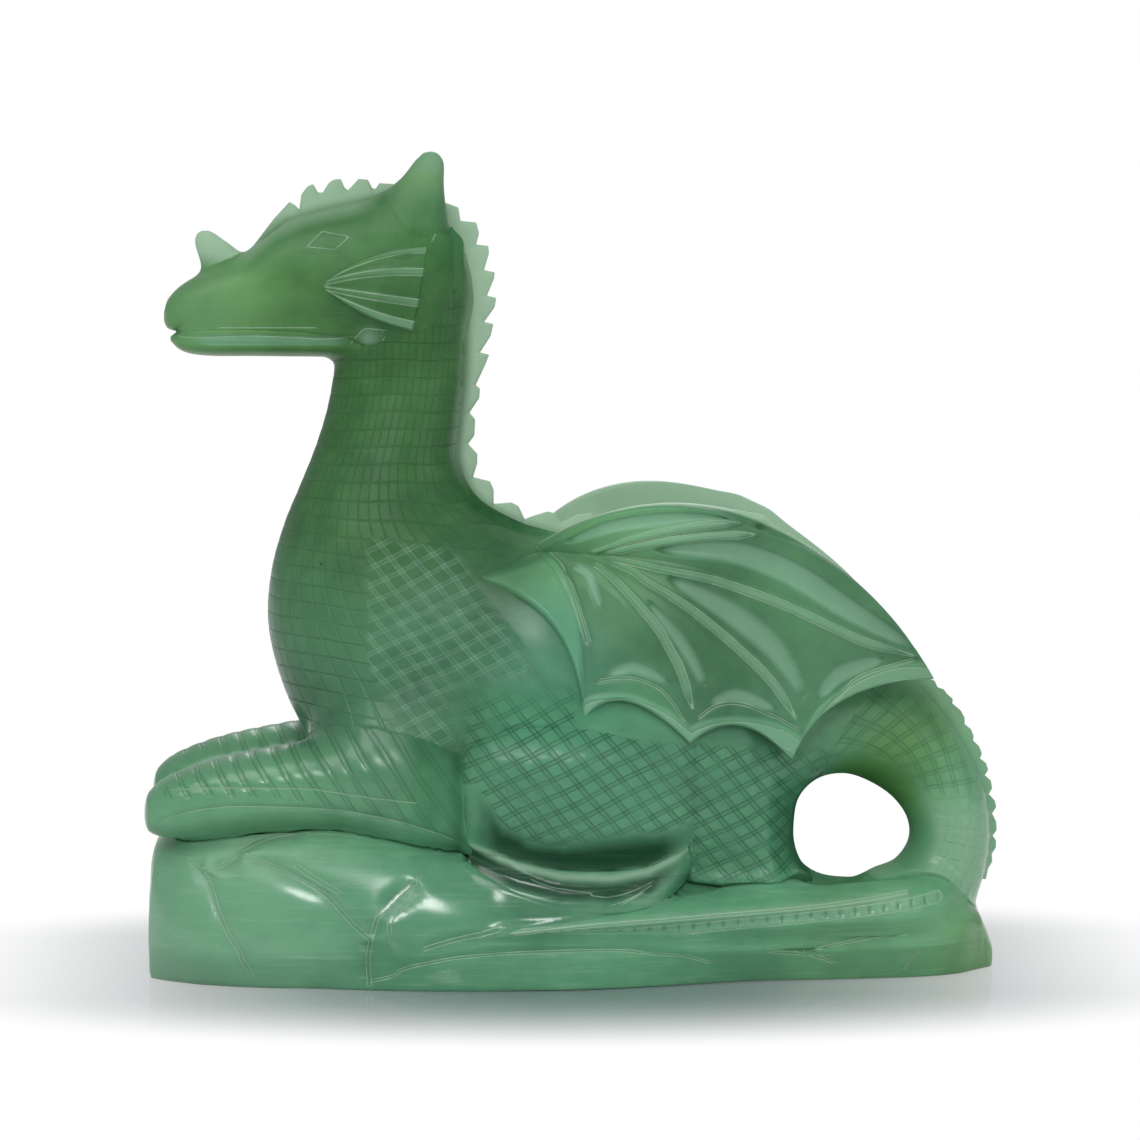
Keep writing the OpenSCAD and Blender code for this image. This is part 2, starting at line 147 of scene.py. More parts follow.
JAW = [
    [-56.1, 89.6, 88.9, 0, 2.2], [-55, 90.3, 87.8, 0, 4], [-53.2, 90.7, 87.1, 0, 5],
    [-50, 90.8, 86.8, 0, 5.8],
    [-45, 90.8, 86.8, 0, 6.4], [-38, 90.5, 86.8, 0, 6.8], [-33, 90.4, 86.9, 0, 6.6],
    [-28, 90.6, 87.3, 0, 6.2], [-22.5, 91, 88.2, 0, 4],
]

# Leaves, upwards: front x, back x, height, middle y, half thickness
HORN = [
    [-27, -19.4, 99.5, -3.6, 2.2], [-26.4, -18.6, 104, -5.2, 2.5],
    [-24.7, -17.9, 108, -5.6, 2.3], [-23.2, -17.8, 111.4, -5.9, 1.9],
    [-22, -17.8, 113.7, -6, 1.5], [-21.1, -18.2, 114.7, -6, 1.1],
    [-20.5, -18.7, 115.2, -6, 0.7], [-19.8, -19.3, 115.4, -6, 0.15],
]
NOSE_LEAF = [
    [-51.5, -42.6, 98.2, 0, 1.3], [-52.1, -45.6, 100.6, 0, 1.1],
    [-52.6, -47.6, 102.3, 0, 0.95], [-52.6, -49, 103.3, 0, 0.8],
    [-52.3, -49.9, 103.95, 0, 0.6], [-51.7, -50.7, 104.35, 0, 0.2],
]

# Wing fingers as cubic handles from the shoulder to the rim, front to top
FINGERS = np.array([
    [[-14.6, -15, 56.0], [-7, -17.5, 54.9], [0.6, -19, 50.2], [1, -19.4, 37.2]],
    [[-5.4, -13, 58.9], [0.5, -17, 56], [1.6, -19.4, 46], [1.8, -19.4, 37.6]],
    [[-3.5, -13.4, 60], [5, -19.4, 56], [14.5, -20, 48], [15.9, -19.4, 33.7]],
    [[-3.2, -13.4, 60.2], [9, -19.6, 57.5], [24, -20.4, 48], [30, -17.6, 31.3]],
    [[-4.2, -13.2, 59.8], [12, -19.6, 61], [32, -19.4, 56], [50.4, -12, 42.0]],
    [[-6.6, -12.6, 59.4], [2, -16.6, 66.8], [14, -19, 69.6], [25.7, -18.6, 64.2]],
])
RIM_HANDLES = np.array([[1.4, -19.4, 37.4], [6.5, -19.8, 43.5], [22.5, -19.4, 40],
                        [34.5, -16.5, 42.2], [41.8, -16.8, 57.6]])


# ---------------------------------------------------------------- smooth rows and steps

def read(rows, place):
    """Values of a smooth (Catmull-Rom) curve through the rows at the given places, 0 to last."""
    rows = np.asarray(rows, float)
    place = np.asarray(place, float)
    last = len(rows) - 1
    i = np.clip(np.floor(place).astype(int), 0, last - 1)
    t = (place - i)[..., None]
    a, b = rows[np.maximum(i - 1, 0)], rows[i]
    c, d = rows[i + 1], rows[np.minimum(i + 2, last)]
    return 0.5 * (2 * b + (c - a) * t + (2 * a - 5 * b + 4 * c - d) * t ** 2
                  + (3 * b - a - 3 * c + d) * t ** 3)


def step(low, high, value):
    """0 below low, 1 above high, and a smooth rise between them."""
    t = np.clip((value - low) / (high - low), 0, 1)
    return t * t * (3 - 2 * t)


def bell(value, width):
    """1 at zero, falling away smoothly over the width to either side."""
    return np.exp(-(value / width) ** 2)


def triple(*parts):
    """Three arrays or numbers as one array of vectors."""
    return np.stack(np.broadcast_arrays(*parts), -1)


# ---------------------------------------------------------------- forms and their depths

def oval(turn, square):
    """Point of a unit super-ellipse in the direction of turn: |u|^n + |v|^n = 1."""
    c, s = np.cos(turn), np.sin(turn)
    r = (np.abs(c) ** square + np.abs(s) ** square) ** (-1 / square)
    return c * r, s * r


def oval_depth(u, v, half_u, half_v, square):
    """Distance outside a super-ellipse (negative inside): its value over its slope."""
    au, av = np.abs(u) + 1e-6, np.abs(v) + 1e-6
    g = (au ** square + av ** square) ** (1 / square)
    slope = np.hypot((au / g) ** (square - 1) / half_u, (av / g) ** (square - 1) / half_v)
    return (g - 1) / slope


def section_point(place, across):
    """Point of a section in the side view, and its row: across is 1 at the outer rail and -1
    at the inner one.  A bent section is a curve with one handle between its rails, and goes
    on straight past them."""
    row = read(SPINE, place)
    u = np.asarray(across)[..., None]
    bent = np.where(np.abs(u) < 1, (1 - u * u) / 2, 1 - np.abs(u))
    return ((row[..., 0:2] + row[..., 2:4]) / 2 + (row[..., 0:2] - row[..., 2:4]) / 2 * u
            + row[..., 7:9] * bent), row


class Spine:
    """The loft of the body, with a map of where each point of the side view lies in it.

    The map's cells hold |u|, the half width and half thickness of the section there and its
    squareness, where u is 1 at a section's outer rail, -1 at its inner one and 4 far off.
    """

    cell, corner, cells = 0.6, np.array([-52.0, -6.0]), (200, 204)

    def __init__(self, last):
        gx, gz = np.meshgrid(*(np.arange(n) * self.cell + low
                               for n, low in zip(self.cells, self.corner)), indexing="ij")
        # A dense net of section points gives each cell a first guess, the nearest |u| winning
        place, across = np.meshgrid(np.linspace(0, last, 700), np.linspace(-3.6, 3.6, 361),
                                    indexing="ij")
        cells = np.rint((section_point(place, across)[0] - self.corner) / self.cell)
        i, j = cells.astype(int).reshape(-1, 2).T
        on = (i >= 0) & (j >= 0) & (i < gx.shape[0]) & (j < gx.shape[1])
        order = np.argsort(-np.abs(across.ravel()[on]))
        guess = np.full(gx.shape + (2,), np.nan)
        guess[i[on][order], j[on][order]] = np.stack(
            [place.ravel()[on], across.ravel()[on]], 1)[order]
        # Each guess is mended by Newton's steps, none of them longer than 0.3
        f, u = np.nan_to_num(guess[..., 0]), np.nan_to_num(guess[..., 1])
        small = 1e-4
        for _ in range(7):
            here, row = section_point(f, u)
            a = (section_point(f + small, u)[0] - here) / small
            b = (section_point(f, u + small)[0] - here) / small
            ex, ez = gx - here[..., 0], gz - here[..., 1]
            size = a[..., 0] * b[..., 1] - a[..., 1] * b[..., 0]
            size = np.where(np.abs(size) < 1e-3, 1e-3, size)
            f = np.clip(f + np.clip((ex * b[..., 1] - ez * b[..., 0]) / size, -0.3, 0.3),
                        0, last)
            u = u + np.clip((a[..., 0] * ez - a[..., 1] * ex) / size, -0.3, 0.3)
        found = (np.hypot(ex, ez) < 0.05) & ~np.isnan(guess[..., 0])
        v = np.clip(u, -1, 1)[..., None]
        half = np.linalg.norm((row[..., 0:2] - row[..., 2:4]) / 2 - v * row[..., 7:9], axis=-1)
        self.map = np.stack([np.where(found, np.minimum(np.abs(u), 4), 4), half,
                             row[..., 5], row[..., 6]], -1)

    def look(self, x, z):
        """The map's values at points of the side view, between its four nearest cells."""
        fx = np.clip((x - self.corner[0]) / self.cell, 0, self.map.shape[0] - 1.001)
        fz = np.clip((z - self.corner[1]) / self.cell, 0, self.map.shape[1] - 1.001)
        i, j = fx.astype(int), fz.astype(int)
        a, b = (fx - i)[:, None], (fz - j)[:, None]
        m = self.map
        return ((m[i, j] * (1 - a) + m[i + 1, j] * a) * (1 - b)
                + (m[i, j + 1] * (1 - a) + m[i + 1, j + 1] * a) * b)

    def surface(self, place, turn):
        """Points of the loft: a super-ellipse between its outer and its inner rail."""
        row = read(SPINE, place)[:, None, :]
        u, v = oval(turn[None, :], row[..., 6])
        spot, _ = section_point(place[:, None] + 0 * u, u)
        return triple(spot[..., 0], row[..., 4] + row[..., 5] * v, spot[..., 1])

    def depth(self, p):
        """Distance of points outside the loft, negative inside."""
        u, half, wide, square = self.look(p[:, 0], p[:, 2]).T
        return oval_depth(u, p[:, 1] / wide, half, wide, square)


class Limb:
    """A loft along X from rows of x, top, bottom, middle y and half thickness."""

    def __init__(self, rows, square, paired=True):
        self.rows, self.square, self.paired = np.array(rows, float), square, paired
        fine = read(self.rows, np.linspace(0, len(rows) - 1, 400))
        self.fine = fine[np.argsort(fine[:, 0])]

    def at(self, x):
        """Top, bottom, middle y and half thickness at each x."""
        return [np.interp(x, self.fine[:, 0], self.fine[:, k]) for k in range(1, 5)]

    def surface(self, place, turn):
        """Points of the loft: an upright super-ellipse at each x."""
        st = read(self.rows, place)[:, None, :]
        u, v = oval(turn[None, :], self.square)
        z = (st[..., 1] + st[..., 2]) / 2 + (st[..., 1] - st[..., 2]) / 2 * u
        return triple(st[..., 0], st[..., 3] + st[..., 4] * v, z)

    def depth(self, p):
        """Distance of points outside the limb, or outside the nearer of a pair of them."""
        x = np.clip(p[:, 0], self.fine[0, 0], self.fine[-1, 0])
        top, bottom, middle, half = self.at(x)
        y = -np.abs(p[:, 1]) if self.paired else p[:, 1]
        tall = (top - bottom) / 2
        d = oval_depth((p[:, 2] - (top + bottom) / 2) / tall, (y - middle) / half,
                       tall, half, self.square)
        past = np.abs(p[:, 0] - x)
        return np.where(past > 0, np.hypot(np.maximum(d, 0), past), d)


class Leaf:
    """A loft upwards from rows of front x, back x, height, middle y and half thickness."""

    square = 2.0

    def __init__(self, rows):
        self.rows = np.array(rows, float)

    def surface(self, place, turn):
        """Points of the loft: a level super-ellipse at each height."""
        st = read(self.rows, place)[:, None, :]
        u, v = oval(turn[None, :], self.square)
        x = (st[..., 0] + st[..., 1]) / 2 + (st[..., 1] - st[..., 0]) / 2 * u
        return triple(x, st[..., 3] - st[..., 4] * v, st[..., 2])

    def depth(self, p):
        """Distance of points outside the nearer of a pair of leaves."""
        z = np.clip(p[:, 2], self.rows[0, 2], self.rows[-1, 2])
        front, back, middle, half = [np.interp(z, self.rows[:, 2], self.rows[:, k])
                                     for k in (0, 1, 3, 4)]
        long = (back - front) / 2
        y = -np.abs(p[:, 1])
        d = oval_depth((p[:, 0] - (front + back) / 2) / long, (y - middle) / half,
                       long, half, self.square)
        past = np.abs(p[:, 2] - z)
        return np.where(past > 0, np.hypot(np.maximum(d, 0), past), d)


def belly_height(height):
    """Height of the plinth's widest level: 5 mm, or less where the plinth itself is low."""
    return np.minimum(5.0, 0.7 * height)


class Plinth:
    """The rock: flat foot, wide belly and rounded shoulders at each x."""

    square = 4.0

    def __init__(self):
        fine = read(PLINTH, np.linspace(0, len(PLINTH) - 1, 400))
        self.fine = fine[np.argsort(fine[:, 0])]

    def surface(self, place, turn):
        """Closed section by turn, 0 at the left belly, a half turn over the top, then
        down to the foot, across underneath and up again."""
        st = read(PLINTH, place)[:, None, :]
        belly, foot, height = st[..., 1], st[..., 2], st[..., 3]
        widest = belly_height(height)
        turn = turn[None, :]
        u, v = oval(np.minimum(turn, np.pi), self.square)
        over_y, over_z = -belly * u, widest + (height - widest) * v
        # Down the left side, in under the foot's rounded edge, across, and up the right side
        t = np.clip(turn / np.pi - 1, 0, 1)
        down = np.array([0, 0.16, 0.2, 0.24, 0.76, 0.8, 0.84, 1])
        side = np.array([1, 1, 1, 1, -1, -1, -1, -1.0])
        reach = np.array([1, 0, 0, 0, 0, 0, 0, 1.0])
        level = np.array([1, 0.14, 0.03, 0, 0, 0.03, 0.14, 1])
        inset = np.array([0, 0, 0.25, 0.7, 0.7, 0.25, 0, 0])
        s, r = np.interp(t, down, side), np.interp(t, down, reach)
        under_y = s * (foot + (belly - foot) * r - np.interp(t, down, inset))
        under_z = widest * np.interp(t, down, level)
        over = turn <= np.pi
        return triple(st[..., 0], np.where(over, over_y, under_y),
                      np.where(over, over_z, under_z))

    def depth(self, p):
        """Distance of points outside the rock, negative inside."""
        x = np.clip(p[:, 0], self.fine[0, 0], self.fine[-1, 0])
        belly, foot, height = [np.interp(x, self.fine[:, 0], self.fine[:, k])
                               for k in (1, 2, 3)]
        widest = belly_height(height)
        tall = height - widest
        above = oval_depth((p[:, 2] - widest) / tall, p[:, 1] / belly, tall, belly,
                           self.square)
        below = np.abs(p[:, 1]) - (foot + (belly - foot) * p[:, 2] / widest)
        d = np.where(p[:, 2] > widest, above, below)
        past = np.abs(p[:, 0] - x)
        return np.where(past > 0, np.hypot(np.maximum(d, 0), past), d)


BODY = Spine(TAIL_FOOT)
LEG, HAUNCH, FOOT = Limb(FORELEG, 2.4), Limb(THIGH, 2.4), Limb(HIND_FOOT, 3.4)
TAIL_TIP = Limb(TAIL_END, 2.2, paired=False)
HEAD, CHIN = Limb(SKULL, 2.4, paired=False), Limb(JAW, 2.4, paired=False)
HORNS, NOSE = Leaf(HORN), Leaf(NOSE_LEAF)
ROCK = Plinth()


def settle(p, normal, own, others, dive=2.5):
    """Moves each point along its normal to the skin that joins its form to its neighbours.

    The skin is where the smooth least of all depths is zero: the least of two depths a and
    b, less k h^2 / 4 with h = max(k - |a - b|, 0) / k, rounds their crease over k.  A point
    that a neighbour covers bends away under it, by no more than the dive.
    """
    rounds, longest, deepest = 8, 1.0, 3.5      # moves, and their limits in mm
    flat, n = p.reshape(-1, 3), normal.reshape(-1, 3)
    near = np.zeros(len(flat), bool)
    for other, blend in others:
        near |= other(flat) < blend(flat) + 0.5
    at, out = flat[near], n[near]
    if not len(at):
        return p
    move = np.zeros(len(at))
    # The form's own depth is a little off zero on its own surface, which is taken out
    error = own(at)
    error = np.where(np.abs(error) < 0.3, error, 0) * step(0.3, 0.1, np.abs(error))
    most = np.max([blend(at) for _, blend in others], 0) / 4 + 0.02
    for again in range(rounds + 1):
        q = at + out * move[:, None]
        total = own(q) - error
        mine, covered = total, np.full(len(at), 9.0)
        for other, blend in others:
            b, k = other(q), blend(q)
            covered = np.minimum(covered, b - mine + 0.05 + 0.04 * k)
            h = np.clip(k - np.abs(total - b), 0, None) / k
            total = np.minimum(total, b) - h * h * k / 4
        if again < rounds:
            move = np.clip(move - np.clip(total, -longest, longest), -deepest, most)
    under = np.clip(-covered, 0, 3)
    move = move - np.minimum(1.3 * under ** 2 / (under + 0.4), dive)
    flat = flat.copy()
    flat[near] = at + out * move[:, None]
    return flat.reshape(p.shape)


def even(k):
    """A blend of the same k everywhere."""
    return lambda p: np.full(len(p), float(k))


def shoulder_blend(p):
    """The foreleg flows into the shoulder, more crisply before the chest and at the haunch."""
    x, z = p[:, 0], p[:, 2]
    return 1.4 + 11.0 * step(-42, -27, x) * (1 - 0.75 * step(-22, -16, x) * step(38, 31, z))


def haunch_blend(p):
    """The haunch flows into the flank above, less so in front, and is undercut below."""
    x, z = p[:, 0], p[:, 2]
    return (3.0 + 1.2 * step(-8, -14, x) + 8.0 * step(24, 33, z) * step(-18, -11, x)
            + 3.0 * step(10, 16, x))


def knee_blend(p):
    """The haunch's front edge is softer than its belly."""
    return 3.0 + 3.0 * step(-8, -14, p[:, 0])


def floor_blend(p):
    """The rump widens into the rock, most of all round the loop's hole; at the tail's foot
    there is a notch."""
    x = p[:, 0]
    return (1.2 + 3.6 * step(6, 13, x) * step(57, 52, x)
            + 3.4 * step(25, 32, x) * step(18, 14, np.abs(p[:, 1])) * step(56, 50, x))


def ridge_blend(p):
    """The tail's end runs out into the rump's foot and parts from the tail itself."""
    return 3.0 + 3.0 * step(8, 16, p[:, 0]) * step(44, 36, p[:, 0])


def heel_blend(p):
    """The hind foot ends crisply in front and runs out into the rump behind."""
    return 1.5 + 3.5 * step(5, 13, p[:, 0])


def nape_blend(p):
    """The neck grows softly out of the skull behind and meets the jaw sharply in front."""
    return 3.0 + 4.5 * step(-32, -25, p[:, 0])


def lip_blend(p):
    """The jaw and the skull are one surface behind the notch at the nose."""
    return 0.4 + 2.8 * step(-55.6, -53, p[:, 0])


# ---------------------------------------------------------------- grids to meshes

def normals_of(p, closed):
    """Unit normals of a grid of points from its two directions, the second one closed."""
    du = np.gradient(p, axis=0)
    dv = (np.roll(p, -1, 1) - np.roll(p, 1, 1)) / 2 if closed else np.gradient(p, axis=1)
    n = np.cross(dv, du)
    return n / np.maximum(np.linalg.norm(n, axis=-1, keepdims=True), 1e-12)


def outwards(p):
    """1 where the normals of a grid of closed rings point out of them, otherwise -1."""
    return 1 if ((p - p.mean(1, keepdims=True)) * normals_of(p, True)).sum() > 0 else -1


def to_frame(p):
    """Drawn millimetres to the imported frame's metres."""
    return (p - np.array([DRAWN_MIDDLE, 0, 0])) * RATIO


FAR = 40.0      # mm from a wheel line, at which none is drawn
BLANK = {"hatch": (0, 0, 0), "rings": (0, 0, 0), "tone": (0, 0, 0), "cuts": (FAR, FAR, FAR),
         "gaps": (0, 0, 0), "matt": (0.5, 0, 0)}
STONES = {}     # the materials, by the names of their slots


def put(name, slot, points, faces, notes, normals=None, flip=False):
    """A piece from points, faces and notes, turned over to the other side if flip, with its
    stone.  It stands for the solid of the same name.

    The notes are what the stone's material reads at each point: hatch and rings are line
    numbers and a strength, tone is how pale, warm and light the stone is, cuts are distances
    from engraved lines in mm, gaps are how far to either side of each a pair of them lies,
    and matt is how little polished it is.
    """
    over = np.array([1, -1 if flip else 1, 1])
    points = points * over
    faces = [f[:, ::-1] for f in faces] if flip else faces
    loops = np.concatenate([f.ravel() for f in faces])
    sizes = np.concatenate([np.full(len(f), f.shape[1]) for f in faces])
    mesh = bpy.data.meshes.new(name)
    starts = np.concatenate([[0], np.cumsum(sizes)[:-1]])
    mesh.vertices.add(len(points))
    mesh.vertices.foreach_set("co", to_frame(points).astype(np.float32).ravel())
    mesh.loops.add(len(loops))
    mesh.loops.foreach_set("vertex_index", loops.astype(np.int32))
    mesh.polygons.add(len(sizes))
    mesh.polygons.foreach_set("loop_start", starts.astype(np.int32))
    mesh.polygons.foreach_set("use_smooth", np.ones(len(sizes), bool))
    mesh.update(calc_edges=True)
    for key, blank in BLANK.items():
        values = np.tile(np.array(blank, np.float32), (len(points), 1))
        if key in notes:
            given = np.asarray(notes[key], np.float32).reshape(-1, 3)
            values[:len(given)] = given
            values[len(given):] = given[-1]      # the poles of a capped grid
        layer = mesh.attributes.new(key, "FLOAT_VECTOR", "POINT")
        layer.data.foreach_set("vector", values.ravel())
    if normals is not None:
        mesh.normals_split_custom_set_from_vertices(normals * over)
    mesh.materials.append(STONES[slot])
    obj = bpy.data.objects.new(name, mesh)
    bpy.context.scene.collection.objects.link(obj)
    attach(obj, "root")
    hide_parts(name)


def grid_faces(rows, columns, closed):
    """Quads of a grid, wound so that they face the side that its normals point to."""
    i, j = np.meshgrid(np.arange(rows - 1), np.arange(columns if closed else columns - 1),
                       indexing="ij")
    i, j = i.ravel(), j.ravel()
    k = (j + 1) % columns
    return np.stack([i * columns + j, i * columns + k, (i + 1) * columns + k,
                     (i + 1) * columns + j], 1)


def capped(p):
    """The points of a closed-ring grid with a pole at each end, and all its faces."""
    rows, columns = p.shape[:2]
    points = np.concatenate([p.reshape(-1, 3), p[:1].mean(1), p[-1:].mean(1)])
    j = np.arange(columns)
    k = (j + 1) % columns
    first, last = rows * columns, rows * columns + 1
    base = (rows - 1) * columns
    return points, [grid_faces(rows, columns, True),
                    np.stack([k, j, np.full(columns, first)], 1),
                    np.stack([base + j, base + k, np.full(columns, last)], 1)]


def even_turns(n):
    """Equal turns once round a section."""
    return np.arange(n) * 2 * np.pi / n


def near_turns(n):
    """Turns once round a section, about twice as close at its -Y side as at the other."""
    turn = even_turns(n)
    return turn - 0.33 * np.cos(turn)


def eased(first, last, n):
    """Places from first to last, closer together towards both ends."""
    t = np.linspace(0, 1, n)
    return first + (last - first) * (t - 0.13 * np.sin(2 * np.pi * t))


# ---------------------------------------------------------------- engraved lines

def softened(line):
    """A bent line with its corners rounded, as points close together."""
    line = np.asarray(line, float)
    return line if len(line) < 3 else read(line, np.linspace(0, len(line) - 1, len(line) * 3))


def line_distance(x, z, lines):
    """Distance in the side view to the nearest of the lines, signed by the side of it, and
    how far along that line the nearest point lies, 0 to 1."""
    best, reached = np.full(x.shape, 9.0), np.zeros(x.shape)
    for line in lines:
        line = softened(line)
        lengths = np.hypot(*np.diff(line, axis=0).T)
        starts = np.concatenate([[0], np.cumsum(lengths)])
        for a, b, start, length in zip(line[:-1], line[1:], starts, lengths):
            ux, uz = (b - a) / max(length, 1e-9)
            px, pz = x - a[0], z - a[1]
            t = np.clip(px * ux + pz * uz, 0, length)
            d = np.hypot(px - t * ux, pz - t * uz)
            near = d < np.abs(best)
            best = np.where(near, np.where(ux * pz - uz * px < 0, -d, d), best)
            reached = np.where(near, (start + t) / starts[-1], reached)
    return best, reached


def drawn(distance, where=1.0):
    """A signed distance for the material, which draws a line where it passes through zero:
    exact near the line, and steep beyond, so that a change of side far off draws nothing."""
    steep = distance * (1 + 30 * step(1.1, 1.9, np.abs(distance)))
    return np.where(where > 0.5, steep, FAR)


# Rock: the grooves between its boulders, as x, z in the side view
ROCK_GROOVES = [
    [[-53.3, 17.5], [-50.7, 15.2], [-49.1, 11.2], [-47.8, 8.5], [-46.2, 5.8], [-44.9, 3.8],
     [-44, 2.1]],
    [[-51, 16.4], [-48.4, 17.2], [-46.1, 19.2], [-42.8, 20.8], [-38.8, 21.6], [-36.7, 21.7]],
    [[-45.8, 18.5], [-41.5, 17.1], [-38.8, 15.8], [-36.2, 14.4], [-33.9, 12.9], [-30.6, 9.4],
     [-28.1, 7.4]],
    [[-21.7, 15.4], [-24, 13.7], [-26, 11.7], [-27.3, 10.2], [-28.1, 7.4]],
    [[-28.1, 7.4], [-28.6, 4.5], [-28.4, 1.0]],
    [[-20.7, 6.2], [-17, 7.3], [-13.7, 8.0], [-10.4, 8.8]],
]
ROCK_STREAMS = [
    [[-28, 1.5], [-25, 2.3], [-23.7, 3.3], [-18.7, 4.5], [-13.7, 5.1], [-4.7, 5.5], [1.4, 5.6],
     [7, 5.5], [10.8, 4.9], [15.5, 4.4], [18.8, 3.3]],
    [[27.3, 4.5], [32, 4.7], [36.8, 5.6], [42.4, 6.5], [46.2, 6.9]],
    [[27.3, 4.5], [32.1, 4], [36.3, 2.7]],
    [[46.5, 1.7], [48.1, 3.9]],
]
ROCK_SCRATCHES = [[[-38.5, 17.3], [-36.2, 15.8], [-32.6, 13.8]],
                  [[-22, 13.5], [-23.6, 12], [-25.3, 10.4], [-25.6, 8.4]]]
# Boulders: x, z, how much longer than tall, radius in mm and how far they swell out in mm
ROCK_SWELLS = [(-45.5, 5.5, 1.5, 8.5, 1.87), (-27, 9, 1.0, 3.2, 0.85),
               (-18.5, 7.4, 1.4, 5.8, 1.275), (-53, 9, 0.7, 6, 0.51)]

# Wing, as x, z in the side view
WING_RIBS = [
    [[2.4, 60.4], [6.7, 61.7], [10.9, 62.9], [15.1, 63.8], [19.4, 64.4], [23.6, 65.0]],
    [[4.3, 60.4], [8.8, 61.1], [13.4, 62], [19.3, 62.7], [25.6, 63.1]],
    [[3.7, 59.1], [8.7, 58.3], [13.4, 57.4], [18.5, 56.4], [22.7, 55.1], [27.8, 53.2],
     [32.1, 51.3], [36.3, 49.3], [40.6, 47.4], [48.2, 45.3]],
    [[4.5, 58.6], [7.9, 57.5], [10, 56.1], [13.4, 54.1], [16.8, 51.8], [21.9, 47.5],
     [27, 42.4], [30.8, 36.4]],
    [[2.4, 58], [4.9, 56.5], [7.4, 54.4], [10, 51.6], [11.7, 49.5], [13.4, 46.5],
     [14.7, 43.9], [16.4, 38.2]],
]
WING_RIM = [
    [[1.1, 38.1], [3.2, 39.1], [6.6, 39.4], [8.7, 39], [12.5, 37.2], [15.5, 34.8]],
    [[16.8, 35], [19.3, 35.9], [21.9, 36.2], [26.1, 35.7], [29.5, 34], [31.2, 31.9]],
    [[32.0, 32.4], [34, 36.7], [36.6, 39.2], [40, 41.6], [45.1, 43.1], [50.2, 42.9]],
]
WING_ARCS = [
    [[-5.6, 60], [-2.2, 58.3], [-0.1, 55.4], [1.3, 51.1], [2.2, 48]],
    [[3.6, 42.7], [6.6, 43.1], [9.6, 42.6], [12.5, 40.9], [15.1, 37.2]],
    [[17.2, 37.6], [19.3, 39.2], [22.7, 39.5], [27, 37.8], [30.4, 35.8]],
    [[33.6, 36.7], [36.6, 40.5], [40, 43.1], [47.2, 45]],
]
# Scoops: half width at the middle in mm, depth in mm, then the line
WING_SCOOPS = [
    (0.85, 0.455, [[-0.5, 62], [5.8, 64.1], [13.5, 65.2], [21.1, 65.3]]),
    (1.75, 0.78, [[11.6, 60.6], [21.9, 60.4], [30, 57.4], [37.2, 52.7], [42.8, 49.3],
                 [47.6, 46.6]]),
    (1.45, 0.78, [[13.1, 56.6], [20.1, 52.8], [25.7, 48.6], [29.1, 44.7], [31.4, 40.1]]),
    (0.7, 0.52, [[10.3, 53.2], [13.8, 49], [15.9, 46], [17.8, 42.1]]),
    (0.6, 0.26, [[0, 57.4], [2.4, 56.3], [3.8, 52.5]]),
    (0.75, 0.39, [[4.6, 43.5], [8.3, 44.5], [12.8, 42.5]]),
    (0.8, 0.39, [[18.6, 39.6], [22.3, 40.7], [27.6, 38.6]]),
    (1.0, 0.39, [[33.6, 40], [36.6, 43.2], [42.7, 45.2]]),
]

# Head, as x, z in the side view
EYE = [[[-36.9, 102.3], [-34.7, 104.4]], [[-34.7, 104.4], [-30.9, 103.7]],
       [[-30.9, 103.7], [-33, 101.9]], [[-33, 101.9], [-36.9, 102.3]]]
MOUTH = [[[-58, 91.4], [-55.6, 90.4], [-54.7, 89.7], [-52.7, 89.6], [-48.7, 89.8],
          [-44.7, 89.9], [-38.7, 89.7], [-34.7, 89.4], [-30.7, 89.6]]]
CHEEK = [[[-49, 91], [-36, 91]], [[-26.2, 89.6], [-27, 87.7]], [[-23.2, 89.5], [-23.2, 88.7]],
         [[-26.2, 90.7], [-28.7, 90.9], [-29.7, 90.1], [-30.7, 88.9]],
         [[-17.9, 108.7], [-18.5, 105.4], [-19.4, 103.2]]]


# ---------------------------------------------------------------- carved texture

def hatch_lines(x, z, sizes):
    """Numbers of the two sets of slanting lines that cross over the flank: one falls towards
    the tail at 50 degrees, the other rises at 25, and both wander a little as hand work."""
    sway = 0.12 * np.sin(0.35 * x + 0.3 * z) + 0.08 * np.sin(0.23 * z - 0.5 * x + 1.7)
    steep, low = math.radians(50), math.radians(25)
    a = (x * math.sin(steep) + z * math.cos(steep) + sway) / sizes.hatch_fall
    b = (-x * math.sin(low) + z * math.cos(low) + sway * 0.8) / sizes.hatch_rise
    return a, b


def horn_root(x, z):
    """1 where the horn, the skull and the neck meet, falling away over 4 mm round it."""
    return bell(np.hypot(x + 18.5, z - 103.5), 4)


def hatch_relief(a, b, strength, sizes):
    """The scales between the lines stand as low pillows: the skin sinks near each line."""
    da = np.abs(a - np.round(a)) * sizes.hatch_fall
    db = np.abs(b - np.round(b)) * sizes.hatch_rise
    return -sizes.hatch_depth * strength * np.maximum(bell(da, 0.45), bell(db, 0.45))


